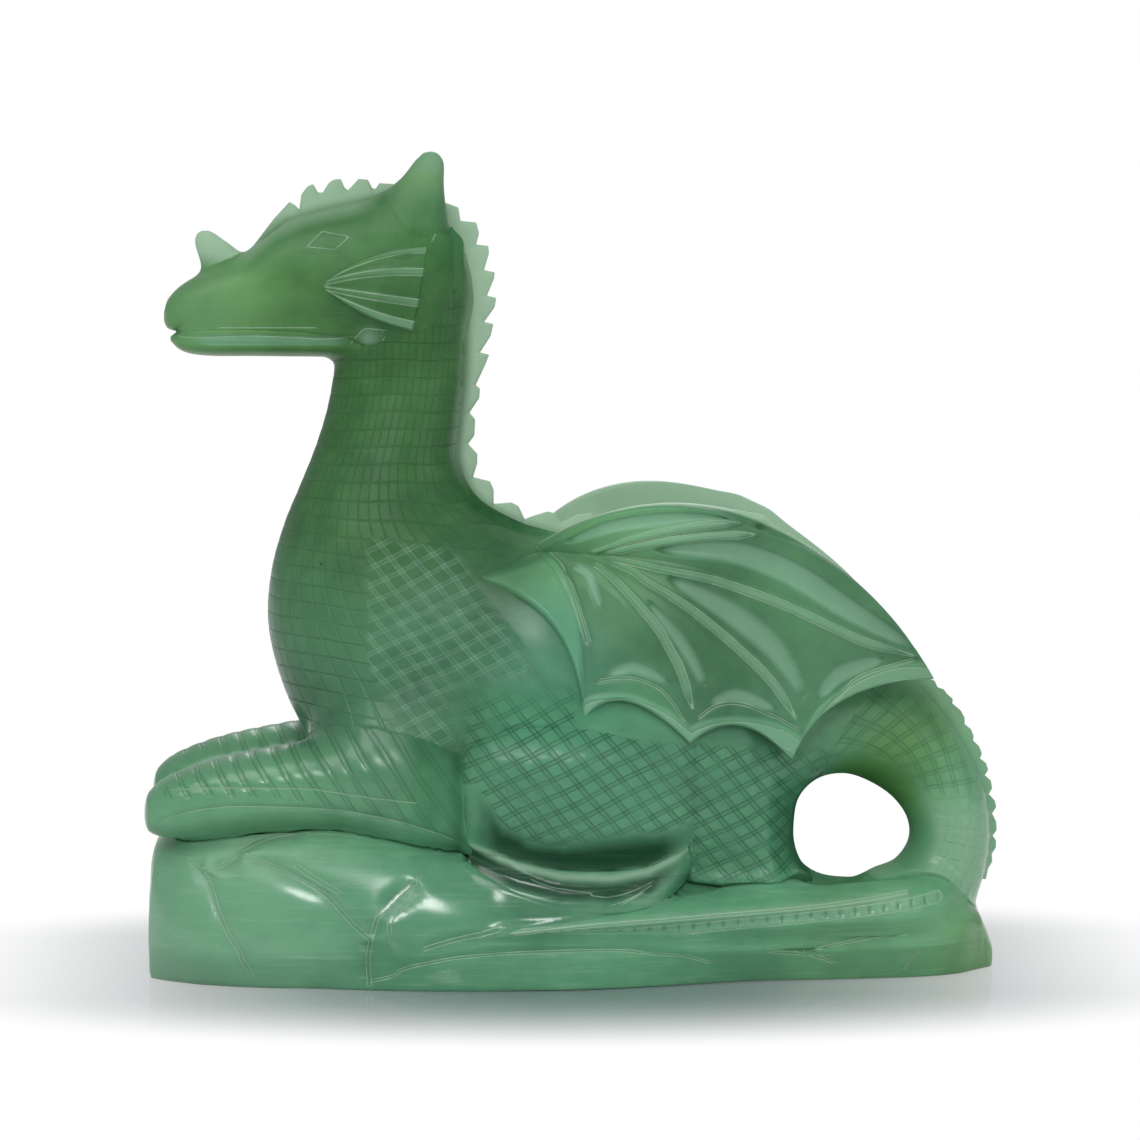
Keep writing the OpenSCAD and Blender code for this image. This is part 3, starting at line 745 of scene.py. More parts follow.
# Clouds in the stone: x, z, radius, how warm (yellow), how light, how matt
CLOUDS = [
    [-51, 94, 8, 0.9, 0.45, 0.8], [-37, 93, 6, 1.1, -0.2, 0.9], [-30, 105, 8, 0.8, -0.1, 0.9],
    [-24, 88, 9, 1.0, -0.55, 1], [-24, 76, 11, 0.9, -0.65, 1], [-27, 64, 11, 0.8, -0.65, 0.9],
    [-38, 51, 8, 0.1, -0.3, 0.6], [-38, 40, 7, -0.2, -0.7, 0.5], [-22, 38, 7, -0.4, -0.4, 0.4],
    [-13, 58, 7, 0.4, -0.75, 0.9], [-18, 48, 8, -0.6, -0.25, 0.3],
    # The cloud at x -4, z 46 is lighter and bluer as a painted sheen of the shoulder facet's
    # highlight
    [-4, 46, 5.5, -1.8, 0.5, 0], [0, 28, 11, -1.2, 0.45, 0.5], [22, 25, 11, -0.9, 0.55, 0.6],
    [-46, 29, 10, 0.0, 0.75, 0.2], [-28, 29, 7, -0.3, 0.4, 0.2], [-48, 9, 12, -0.6, 1.2, 0],
    [-20, 9, 13, -0.7, 0.65, 0], [12, 7, 12, -0.6, 0.75, 0.1], [42, 6, 10, 0.1, 0.65, 0.2],
    [57, 4, 6, 0.9, 0.5, 0.2], [50, 14, 6, -0.2, 2.7, 0.2], [56, 24, 7, 0.0, 1.4, 0.4],
    [46, 31, 6, 1.0, 0.35, 0.6], [9, 40, 4, -0.4, 0.8, 0.7], [5, 57, 7, 0.4, 0.45, 0.6],
    [18, 46, 8, 0.2, -0.3, 0.6], [30, 53, 7, 0.2, 0.4, 0.6], [36, 42, 8, 0.1, 0.2, 0.6],
]
CLEAR = [0.0, 0.0, 0.5]     # warm, light and matt, where there is no cloud


def clouds(p):
    """How warm, light and matt the stone is at each point: the mean of the clouds, each
    weighed by exp(-(distance / radius)^2) in the side view, and of a little clear stone."""
    total = np.full(p.shape[:-1] + (1,), 0.05)
    notes = total * CLEAR
    for x, z, radius, *note in CLOUDS:
        share = np.exp(-((p[..., 0] - x) ** 2 + (p[..., 2] - z) ** 2) / radius ** 2)[..., None]
        total, notes = total + share, notes + share * note
    return notes / total


def tone(p, pale=0.0, light=0.0):
    """Notes for the stone: how pale, warm and light it is."""
    warm, bright, _ = np.moveaxis(clouds(p), -1, 0)
    return triple(pale, warm, bright + light)


def matt(p, more=0.0):
    """Notes for the surface: how matt it is; from 1.5 on it has no shine at all."""
    dull = clouds(p)[..., 2]
    return triple(np.clip(dull + more, 0, 2), 0, 0)


# ---------------------------------------------------------------- pieces

def carve(name, slot, form, place, turns, others, work, side=-1, seam=False, dive=2.5):
    """A piece lofted by its form, settled against its neighbours, then worked over.

    Work takes the settled points, their normals, places and turns, and gives the relief
    along the normals in mm and the notes.  The normals of a piece that goes on in another
    one, at a seam, are worked out past its ends, so that no line shows there.
    """
    if seam:
        pitch = place[1] - place[0]
        place = np.concatenate([[place[0] - pitch], place, [place[-1] + pitch]])
    p = form.surface(place, turns)
    way = outwards(p)
    p = settle(p, normals_of(p, True) * way, form.depth, others, dive)
    n = normals_of(p, True) * way
    relief, notes = work(p, n, place, turns)
    p = p + n * relief[..., None]
    p[..., 2] = np.maximum(p[..., 2], 0)        # nothing goes below the floor
    shade = None
    if seam:
        n = (normals_of(p, True) * way)[1:-1]
        p, notes = p[1:-1], {key: value[1:-1] for key, value in notes.items()}
        shade = np.concatenate([n.reshape(-1, 3), n[:1, 0], n[-1:, 0]])
    points, faces = capped(p)
    if way < 0:
        faces = [f[:, ::-1] for f in faces]
    put(name, slot, points, faces, notes, normals=shade, flip=side > 0)


# Side in y, its word, and its share of the rows: the right side is seen less closely
SIDES = ((-1, "left", 1.0), (1, "right", 0.8))
FINE = 1.0


def count(n, share=1.0):
    """How many rows or columns to make of the full number."""
    return max(8, int(n * share * FINE))


def along(rows, n, share=1.0):
    """Eased places from the first to the last of a form's rows."""
    return eased(0, len(rows) - 1, count(n, share))


NEIGHBOURS_OF_BODY = [(LEG.depth, shoulder_blend), (HAUNCH.depth, haunch_blend),
                      (FOOT.depth, heel_blend), (ROCK.depth, floor_blend),
                      (TAIL_TIP.depth, ridge_blend), (HEAD.depth, nape_blend),
                      (CHIN.depth, even(2.5)), (HORNS.depth, even(5.0))]


def work_body(sizes):
    """Rings and upright lines down the neck and breast, crossed slanting lines behind them."""
    def work(p, n, place, turns):
        x, y, z = p[..., 0], p[..., 1], p[..., 2]
        # The scales begin behind a seam down the breast, and stop at a smooth facet before
        # the wing, at the strip along the back, under the wing's rim and at the tail
        seam = -28.5 + 3.0 * step(46, 38, z)
        behind = step(-0.4, 0.4, x - seam) * step(-0.5, 1.0, 62.3 - 0.14 * (x + 28) - z)
        facet = step(-0.5, 0.8, x - (-12.5 + (54 - z) * 0.67)) * step(40.5, 42.5, z)
        plain = np.maximum(facet, step(-0.5, 0.8, z - 59.5 + 0.1 * (x + 28))
                           * step(-16, -13, x))
        under_rim = step(-0.3, 0.5, z - 35.2 + 0.09 * np.clip(x, 0, 40)) * step(-0.5, 0.5, x)
        on_tail = step(35, 37, x) * step(-2, 2, x - 20 - (z - 12) * 0.2)
        # Spine is 1 along the back and -1 along the belly; rim and edge bound the loop's hole, where
        # they are darkened as painted shade
        spine = np.cos(turns)[None, :] + 0 * x
        rim = step(-0.6, -0.93, spine) * step(15.3, 16.3, place)[:, None]
        edge = step(0.3, 0.75, n[..., 0]) * step(24, 28, x) * step(30, 25, z)
        seat = step(12.8, 15.4, z) * step(0, 6, x) + step(6, 0, x)
        a, b = hatch_lines(x, z, sizes)
        strength = (behind * (1 - plain) * (1 - under_rim) * (1 - on_tail) * (1 - rim)
                    * seat)
        # Rings down the neck and the breast, and 56 upright lines round them
        rings = (z + 0.1 * (x + 36) * step(72, 56, z)
                 + 0.12 * np.sin(0.5 * x + 0.2 * y)) / sizes.ring_pitch
        upright = turns * 56 / (2 * np.pi)
        front = (1 - behind) * step(33, 36, z) * step(-13.5, -17, x - 12 * step(70, 60, z))
        chest = strength * step(2, -6, x) * np.maximum(
            step(36, 46, z), step(-13, -19, x) * step(29, 33, z))
        relief = hatch_relief(a, b, strength, sizes) * (1 - 0.5 * chest)
        ring_gap = np.abs(rings - np.round(rings)) * sizes.ring_pitch
        relief = relief - 0.03 * front * bell(ring_gap, 0.4)
        relief = relief + 0.6 * bell(np.hypot((x + 4.6) / 1.2, z - 44.5), 5.2) * facet
        # The lines on the breast catch the light; those on the rump wear away to its edge
        strength = (strength - 1.7 * chest) * (1 - 0.5 * step(29, 33, x))
        # Along the nape under the crest the stone is paler, a painted glow of light through the
        # crest
        nape = step(0.8, 1.0, spine) * step(66, 74, z)
        back = step(0.6, 0.95, spine) * step(74, 66, z) * step(12, 4, x)
        # Painted shade on the lower flank's sides and in the crease before the haunch
        shade = (bell(np.hypot((x - 1) / 18, (z - 17) / 7), 0.8)
                 + 0.9 * bell(x + 16.2, 1.3) * step(35, 31, z)) * step(-8, -13, -np.abs(y))
        # Where the horn meets skull and neck the stone is lightened, painted light lifting the shade
        # there
        joint = horn_root(x, z)
        dull = 1.4 * bell(np.hypot((x + 4) / 3, z - 39), 4.2) + 1.4 * joint
        return relief, {"hatch": triple(a, b, strength), "rings": triple(rings, upright, front),
                        "tone": tone(p, 0.45 * nape + 0.15 * joint,
                                     0.5 * joint - 0.5 * shade - 0.8 * rim - 0.25 * edge),
                        "matt": matt(p, 2.2 * np.maximum(rim, edge) + 0.3 * chest + 0.8 * back
                                     + dull)}
    return work


def work_tail(sizes):
    """Diamonds along the outer two thirds of the tail's sides; its inner side is smooth."""
    def work(p, n, place, turns):
        middle = read(SPINE, place)
        middle = (middle[:, 0:2] + middle[:, 2:4]) / 2
        run = np.concatenate([[0], np.cumsum(np.hypot(*np.diff(middle, axis=0).T))])
        u = np.cos(turns)[None, :] + 0 * run[:, None]
        across = u * 6.5        # mm; the tail is about 13 mm thick
        run = run[:, None] + 0 * across
        sway = 0.07 * np.sin(run * 0.5) + 0.06 * np.sin(run * 0.37 + 0.4 * across)
        pitch = 2.25            # mm between the lines of either set
        a = (run * 0.28 + across + sway) / pitch
        b = (run - across * 0.3 - sway) / pitch
        strength = step(-0.5, -0.2, u) * step(0.9, 0.7, u)
        relief = 0.6 * hatch_relief(a, b, strength, sizes)
        low = step(27, 21, p[..., 2])
        # On the lower part the lines are drawn lighter than the stone, as painted glints
        strength = strength * (0.62 - 1.4 * low)
        inner = step(-0.35, -0.75, u)
        notes = tone(p, 0.3 * low * (1 - inner), -0.1 * inner)
        notes[..., 1] += 0.45 * inner * step(18, 24, p[..., 2])
        return relief, {"hatch": triple(a, b, strength), "tone": notes,
                        "matt": matt(p, 1.2 * inner)}
    return work


def make_neck_torso_tail(sizes):
    """The body in three lengths of one loft."""
    for name, first, last, rows, columns, work in (
            ("neck", NECK_TOP, COLLAR, 420, 144, work_body(sizes)),
            ("torso", COLLAR, TAIL_ROOT, 320, 216, work_body(sizes)),
            ("tail_loop", TAIL_ROOT, TAIL_FOOT, 380, 144, work_tail(sizes))):
        carve(name, "engraved_body_stone", BODY, np.linspace(first, last, count(rows)),
              near_turns(count(columns)), NEIGHBOURS_OF_BODY, work, seam=True)


def work_foreleg(sizes):
    """Slanting pairs of strokes over the foreleg down to a polished band."""
    def work(p, n, place, turns):
        x, y, z = p[..., 0], p[..., 1], p[..., 2]
        outer = step(-9, -13, y)
        low = np.interp(x, [-56, -50, -40, -32, -24, -12], [26.4, 27.0, 26.6, 25.0, 22.8, 19])
        strength = step(-0.3, 0.3, z - low) * step(-57.5, -56.5, x)
        pitch = 3.05            # mm from one pair of strokes to the next, along the leg
        a = (x + 0.62 * z + 0.15 * np.sin(0.8 * x)) / pitch
        strength = strength * np.maximum(outer, step(29, 31, z)) * (1 - 0.4 * step(-27, -22, x))
        gap = np.abs(a - np.round(a)) * 0.85 * pitch
        relief = -sizes.hatch_depth * strength * bell(gap, 0.5)
        band = [[-56.7, 23.6], [-53.4, 24.7], [-50.1, 25.3], [-45.8, 25.6], [-36.9, 25.3],
                [-31.9, 24.8], [-26.9, 23.9], [-22, 22.6], [-17, 20.6]]
        lower, _ = line_distance(x, z, [band])
        upper, _ = line_distance(x, z + 0.1 * (x + 40) * step(-40, -30, x), [
            [[-55.7, 27.6], [-50.1, 28.1], [-40.2, 28.1], [-31.9, 28], [-22, 27.8]]])
        relief = relief - 0.16 * bell(lower, 0.35) * outer - 0.08 * bell(upper, 0.4) * outer
        # Painted shade on the leg's underside below its band and in the crease before the haunch
        under = step(-0.5, -2.5, z - np.interp(x, [-56, -45, -32, -17], [23.6, 25.6, 24.8, 20.6]))
        return relief, {"hatch": triple(a, 0.5, 0.8 * strength),
                        "cuts": triple(drawn(lower, outer), drawn(upper, outer), FAR),
                        "tone": tone(p, 0, (-0.35 * under - 0.45 * bell(x + 16.2, 1.3)) * outer),
                        "matt": matt(p, 0.4 * under + 1.3 * step(-26, -20, x))}
    return work


def foot_lip(x, z):
    """Height above the curved line where the haunch meets the hind foot."""
    return z - np.interp(x, [-14.6, -12, -8, -2, 5, 10, 14, 17],
                         [20.3, 19.2, 17.6, 16.1, 15.8, 16.5, 18.2, 20.4])


def work_thigh(sizes):
    """The flank's crossed lines go on over the haunch and stop above its plain belly, which
    draws in to the foot's lip and is darkened by painted shade."""
    def work(p, n, place, turns):
        x, y, z = p[..., 0], p[..., 1], p[..., 2]
        a, b = hatch_lines(x, z, sizes)
        low = np.interp(x, [-14, -11.9, -10.1, -6.1, -1.5, 3.6, 8.6, 11.1, 15.8],
                        [28.7, 26.2, 23, 20.4, 20, 21.1, 21.8, 21.4, 22.8])
        lip = foot_lip(x, z)
        outer = step(-10, -14, y)
        strength = step(-0.3, 0.4, z - low) * outer
        # Painted shade on the belly under the scales and in the crease in front, a painted highlight
        # on the lip's edge and a painted highlight streak in front
        belly = step(1.6, -3.0, z - low) * outer * step(17, 11, x)
        drawn_in = belly * step(-0.5, 1.5, lip)
        bright = bell(lip + 0.3, 0.45) * outer
        cheek = bell(x + 14, 1.1) * step(20, 24, z) * step(34, 31, z) * outer
        relief = hatch_relief(a, b, strength, sizes) - 0.3 * drawn_in
        return relief, {"hatch": triple(a, b, strength),
                        "tone": tone(p, 0.1 * cheek + 0.5 * bright, 0.2 * bright
                                     - 1.9 * belly * step(-0.1, 0.7, lip) * step(-16, -8.5, x)
                                     - 0.45 * bell(x + 16.2, 1.3) * step(35, 31, z)),
                        "matt": matt(p, 0.5 * belly + 1.4 * step(33, 36, z)
                                     + 1.2 * step(-12, -14, x))}
    return work


def work_foot(p, n, place, turns):
    """The hind foot: a rounded lip above with a painted highlight, a polished scoop below darkened
    by painted shade, and long pale lines in it that are painted highlights.
    """
    x, y, z = p[..., 0], p[..., 1], p[..., 2]
    height = foot_lip(x, z)
    outer = step(-11, -15, y)
    lip = bell(height + 0.3, 0.45) * outer
    scoop = bell(height + 2.1, 1.3) * outer * step(15, 10, x)
    lines, _ = line_distance(x, z, [
        [[-6.1, 15.6], [-3.6, 14.6], [-0.7, 14.1], [2.2, 13.6]],
        [[2.2, 13.3], [4.7, 13.0], [7.9, 13.7], [10.8, 14.9]],
        [[5, 11.9], [7.9, 12.9], [10.8, 14.4]], [[6.5, 12.0], [9.4, 13.4]]])
    return -0.5 * scoop, {
        "tone": tone(p, 0.5 * lip, 0.2 * lip - 1.8 * scoop - 0.35 * outer),
        "matt": matt(p), "cuts": triple(drawn(lines, outer), FAR, FAR)}


def make_limbs(sizes):
    """Forelegs, haunches and hind feet, the right ones as the left ones turned about."""
    around = near_turns(count(122))
    for side, word, share in SIDES:
        carve(word + "_foreleg", "engraved_body_stone", LEG, along(FORELEG, 400, share), around,
              [(BODY.depth, shoulder_blend), (ROCK.depth, even(1.6)),
               (HAUNCH.depth, knee_blend)], work_foreleg(sizes), side)
        carve(word + "_thigh", "engraved_body_stone", HAUNCH, along(THIGH, 300, share), around,
              [(BODY.depth, haunch_blend), (ROCK.depth, even(0.7)), (LEG.depth, knee_blend),
               (FOOT.depth, even(3.0))], work_thigh(sizes), side)
        carve(word + "_hind_foot", "polished_plinth_stone", FOOT, along(HIND_FOOT, 300, share),
              near_turns(count(144)), [(BODY.depth, heel_blend), (ROCK.depth, even(3.2)),
                                       (HAUNCH.depth, even(3.0))], work_foot, side, dive=1.5)


def make_tail_end():
    """The end of the tail along the plinth's left side: two worn ridges and between them a
    row of small cuts."""
    def work(p, n, place, turns):
        x, y, z = p[..., 0], p[..., 1], p[..., 2]
        row, _ = line_distance(x, z, [[[-5.2, 7.7], [3.7, 7.8], [13.2, 8.3], [22.6, 9.0],
                                       [32, 9.7], [41.5, 10.6], [50.9, 11.7]]])
        first, _ = line_distance(x, z, [
            [[-10.4, 8.0], [-1, 8.9], [5.1, 9.4], [12.2, 9.8], [20.2, 10.3], [27.3, 10.7],
             [36.7, 11.4], [46.2, 12.5]]])
        outer = step(-3, -6, y)
        pitch = 2.05            # mm between the small cuts
        beads = x / pitch
        gap = np.abs(beads - np.round(beads)) * pitch
        strength = bell(row, 0.62) * step(-7, -5, x) * step(54, 50, x) * outer
        relief = 0.3 * bell(first, 0.55) * outer - 0.2 * bell(row, 0.75) * outer
        relief = relief - 0.3 * strength * bell(gap, 0.3)
        # Along the upper ridge the stone is paler, a painted highlight
        return relief, {"rings": triple(beads, 0.5, 1.4 * strength),
                        "tone": tone(p, 0.3 * bell(first, 0.6) * outer),
                        "matt": matt(p, 1.3 * step(0.5, 0.8, n[..., 2])),
                        "cuts": triple(drawn(row, outer), drawn(first, outer), FAR),
                        "gaps": triple(0.75 + 0 * x, 0.16, 0)}
    carve("tail_end", "polished_plinth_stone", TAIL_TIP, along(TAIL_END, 620),
          near_turns(count(110)), [(BODY.depth, ridge_blend), (ROCK.depth, even(1.4)),
                                   (FOOT.depth, even(0.6))], work, dive=0.8)


def make_rock():
    """The plinth: boulders marked off by wide shallow grooves with paired fine lines."""
    def work(p, n, place, turns):
        x, y, z = p[..., 0], p[..., 1], p[..., 2]
        facing = step(0.1, 0.4, np.abs(n[..., 1]))
        groove, t = line_distance(x, z, ROCK_GROOVES)
        stream, s = line_distance(x, z, ROCK_STREAMS)
        scratch, _ = line_distance(x, z, ROCK_SCRATCHES)
        fade = step(0, 0.12, t) * step(1, 0.88, t)
        relief = -0.3 * bell(groove, 1.5) * fade - 0.12 * bell(groove, 0.4) * fade
        relief = relief - 0.3 * bell(stream, 0.7) * step(0, 0.1, s) * step(1, 0.9, s)
        relief = relief - 0.08 * bell(scratch, 0.3)
        for at, height, stretch, wide, high in ROCK_SWELLS:
            relief = relief + high * bell(np.hypot((x - at) / stretch, z - height), wide)
        # Painted shade: darker in the grooves, under the hind foot and on the floor of the loop's
        # hole
        shade = bell(groove, 0.8) * fade * facing
        under = step(-14, -10, x) * step(22, 18, x) * step(8.8, 10.5, z) * facing
        floor = (step(14, 11, np.abs(y)) * step(24, 28, x) * step(55, 50, x)
                 * step(7, 10, z))
        upper = step(13, 17, z) * step(-20, -30, x)
        return relief * facing, {"cuts": drawn(triple(groove, stream, scratch), facing[..., None]),
                                 "gaps": triple(0.28 + 0 * x, 0.18, 0.3),
                                 "tone": tone(p, 0.14 * step(-25, -45, x),
                                              -0.3 * shade - 0.4 * under - 0.5 * floor),
                                 "matt": matt(p, 2 * floor + 0.6 * upper)}
    # Most of the columns go over the top, and few underneath
    turns = np.concatenate([np.linspace(0, np.pi, count(230), endpoint=False),
                            np.linspace(np.pi, 2 * np.pi, count(40), endpoint=False)])
    carve("rock_base", "polished_plinth_stone", ROCK, along(PLINTH, 360), turns,
          [(BODY.depth, floor_blend), (LEG.depth, even(1.6)), (HAUNCH.depth, even(0.7)),
           (FOOT.depth, even(3.2)), (TAIL_TIP.depth, even(1.4))], work)


def make_head():
    """Skull and jaw, with the eye, mouth and cheek lines cut in."""
    def work(p, n, place, turns):
        x, z = p[..., 0], p[..., 2]
        eye, mouth, marks = (line_distance(x, z, lines)[0] for lines in (EYE, MOUTH, CHEEK))
        sides = step(0.25, 0.5, np.abs(n[..., 1]))
        relief = -0.05 * bell(eye, 0.28) * sides - 0.1 * bell(mouth, 0.4) * step(-55, -52, x)
        lip = (step(0.2, -0.2, z - np.interp(x, [-55, -48, -38, -30], [89.7, 90, 89.9, 89.6]))
               * step(-0.2, 0.2, z - 88.6) * step(-53, -50, x) * step(-30.5, -34, x)) * sides
        fold = bell(np.hypot(x + 28.3, z - 89.6), 1.3) * sides
        relief = relief - 0.22 * lip - 0.25 * bell(np.hypot(x + 30.5, z - 89.2), 1.2) * sides
        cuts = triple(drawn(eye, sides), drawn(mouth, step(-56, -54, x)), drawn(marks, sides))
        top = np.interp(x, [-47, -41, -36.5, -31, -25], [100.4, 105.2, 107, 108.3, 109.5])
        crown = step(-2.6, -0.2, z - top) * step(-47.5, -44, x) * step(-26, -31, x)
        # The lip's facet is paler and bluer, a painted sheen, and the crown pales towards the crest,
        # a painted glow of light through it
        notes = tone(p, 0.14 * lip + 0.35 * fold + 0.35 * crown, 0.1 * crown)
        notes[..., 0] += 0.1 * bell(np.hypot(x + 51, z - 95), 6)
        notes[..., 1] += 0.6 * bell(np.hypot(x + 43, z - 95), 4) - 1.3 * lip - 1.0 * fold
        return relief, {"cuts": cuts, "tone": notes,
                        "matt": matt(p, 0.3 * lip + 1.4 * horn_root(x, z))}
    carve("head", "engraved_body_stone", HEAD, along(SKULL, 440), near_turns(count(160)),
          [(BODY.depth, nape_blend), (CHIN.depth, lip_blend), (HORNS.depth, even(7.0)),
           (NOSE.depth, even(1.6))], work, dive=0.9)
    carve("lower_jaw", "engraved_body_stone", CHIN, along(JAW, 260), near_turns(count(144)),
          [(HEAD.depth, lip_blend), (BODY.depth, even(2.5))], work, dive=0.6)


def make_horns():
    """The two pointed horns and the leaf on the nose, thin and paler at the tip."""
    around = even_turns(count(72))

    def paler(low, high, amount, stain, root_matt):
        """Paler from the low height to the high one, a painted glow of light through the thin
        stone, with a yellow stain across the horns near their tips, and matt about their roots."""
        def work(p, n, place, turns):
            share = step(low, high, p[..., 2])
            notes = tone(p, amount * share)
            notes[..., 1] += stain * bell(p[..., 2] - 111.5, 0.8)
            root = root_matt * step(105.5, 103.5, p[..., 2])
            return 0 * p[..., 0], {"tone": notes, "matt": matt(p, 0.5 * share + root)}
        return work
    for side, word, _ in SIDES:
        carve(word + "_horn", "thin_pale_stone", HORNS,
              np.linspace(0, len(HORN) - 1, count(150)), around,
              [(HEAD.depth, even(7.0)), (BODY.depth, even(5.0))],
              paler(107, 115, 0.3, 0.8, 1.4), side, dive=1.2)
    carve("nose_horn", "thin_pale_stone", NOSE,
          np.linspace(0, len(NOSE_LEAF) - 1, count(110)), around,
          [(HEAD.depth, even(1.6))], paler(98.5, 101.5, 0.85, 0, 0), dive=1.0)


def thin_plate(name, slot, outer, inner, notes, side):
    """A closed sheet from an outer and an inner grid whose borders are the same points."""
    rows, columns = outer.shape[:2]
    front = np.arange(rows * columns).reshape(rows, columns)
    back = front + rows * columns
    border = np.zeros((rows, columns), bool)
    border[[0, -1], :] = border[:, [0, -1]] = True
    back = np.where(border, front, back)
    quads = grid_faces(rows, columns, False)
    faces = np.concatenate([front.ravel()[quads], back.ravel()[quads[:, ::-1]]])
    points = np.concatenate([outer.reshape(-1, 3), inner.reshape(-1, 3)])
    # The inner grid's own border points are used by no face, and go
    used, renumbered = np.unique(faces, return_inverse=True)
    faces = renumbered.reshape(faces.shape)
    given = {key: np.concatenate([a.reshape(-1, 3), b.reshape(-1, 3)])[used]
             for key, (a, b) in notes.items()}
    p = points[used]
    a, b, c, d = (p[faces[:, k]] for k in range(4))
    volume = (a * np.cross(b, c)).sum() + (a * np.cross(c, d)).sum()
    if volume < 0:
        faces = faces[:, ::-1]
    put(name, slot, p, [faces], given, flip=side > 0)


def rounded(distance, radius):
    """0 at an edge, rising as a quarter circle to 1 at the radius from it."""
    t = 1 - np.clip(distance / radius, 0, 1)
    return np.sqrt(np.clip(1 - t * t, 0, 1))


def edge_distance(p):
    """Distance of each point of a grid from its first and last row, first and last column."""
    return [np.linalg.norm(p - q, axis=-1) for q in (p[:1], p[-1:], p[:, :1], p[:, -1:])]


def ridged(inside, softness):
    """1 where the distance inside a ridge's edge is well above zero, falling to 0 outside."""
    return 0.5 * (1 + np.tanh(inside / softness))


def wing_face(out, q, fingers):
    """Outer face of the left wing: each panel q lies between two fingers and bends to its
    scalloped rim as out goes from the shoulder, 0, to the rim, 1."""
    panel = np.clip(np.floor(q).astype(int), 0, 4)
    c, t = (q - panel)[None, :, None], out[:, None, None]
    a, b = fingers[panel], fingers[panel + 1]
    cubic = np.stack([(1 - t) ** 3, 3 * t * (1 - t) ** 2, 3 * t * t * (1 - t), t ** 3])
    lower = sum(a[None, :, k] * cubic[k] for k in range(4))
    upper = sum(b[None, :, k] * cubic[k] for k in range(4))
    first, last, handle = a[None, :, 3], b[None, :, 3], RIM_HANDLES[panel][None]
    rim = first * (1 - c) ** 2 + handle * 2 * c * (1 - c) + last * c * c
    return lower * (1 - c) + upper * c + t ** 3 * (rim - first * (1 - c) - last * c)


def rooted(face, out, q):
    """The face bent so that it grows out of the trunk's skin at the shoulder, most deeply at
    the flap in front."""
    x, z = face[..., 0], face[..., 2]
    u, _, wide, square = BODY.look(x.ravel(), z.ravel()).T
    skin = (wide * np.clip(1 - np.abs(u) ** square, 0, None) ** (1 / square)).reshape(x.shape)
    reach = -face[..., 1]
    free = step(0.0, 0.32, out)[:, None]
    sink = 2.2 + 5.8 * step(1.5, 0.8, q)[None, :]
    reach = reach + (np.clip(skin - 0.9, reach - sink, reach + 1.0) - reach) * (1 - free)
    k = 1.8 * step(0.75, 0.3, out)[:, None] + 0.01
    h = np.clip(k - np.abs(reach - skin), 0, None) / k
    raised = np.maximum(reach, skin) + h * h * k / 4
    sunk = 0.7 * step(0.06, 0.0, out)[:, None]
    face = face.copy()
    face[..., 1] = -np.where(skin > reach - 8, raised - sunk, reach)
    return face


def work_wing(face, sizes):
    """Relief and notes of a wing's outer face: raised ribs with a line along either side,
    scooped panels, a raised band along the scalloped rim."""
    x, z = face[..., 0], face[..., 2]
    rib, t = line_distance(x, z, WING_RIBS)
    rim, _ = line_distance(x, z, WING_RIM)
    arc, _ = line_distance(x, z, WING_ARCS)
    half = (0.28 + 0.27 * step(0, 0.5, t)) * (1 - 0.85 * step(0.84, 1, t))
    ends = step(0, 0.06, t) * step(1, 0.96, t)
    raised = ridged(half - np.abs(rib), 0.25) * ends
    banded = ridged(1.5 - np.abs(rim), 0.2)
    relief = sizes.rib_height * raised + 0.28 * banded - 0.2 * bell(arc, 0.35)
    scooped = 0 * x
    for wide, deep, line in WING_SCOOPS:
        d, s = line_distance(x, z, [line])
        reach = wide * np.sqrt(np.clip(np.sin(np.pi * s), 0, 1)) + 0.05
        hollow = ridged(reach - np.abs(d), 0.16)
        relief = relief - deep * hollow * np.clip(1 - (d / (reach + 0.2)) ** 2, 0, 1) ** 0.6
        scooped = np.maximum(scooped, hollow * step(0, 0.08, s) * step(1, 0.92, s))
    flap = step(0.5, -1.0, x - np.interp(z, [43, 46.7, 49.7, 52.7, 55.4, 58.3, 60],
                                         [0.9, 1.0, 1.2, 0.9, -0.1, -2.2, -5.6]))
    light = -0.2 + 0.25 * raised + 0.6 * banded + 0.9 * flap + 0.45 * scooped
    light = light + 0.5 * step(59, 63, z) * step(25, 10, x)
    notes = tone(face, 0.06 * np.maximum(raised, banded) + 0.28 * scooped, light)
    notes[..., 1] -= 0.9 * scooped
    cuts = triple(drawn(np.abs(rib), ends), drawn(rim), drawn(arc))
    return relief, notes, cuts, triple(half, 0.8, 0.18)


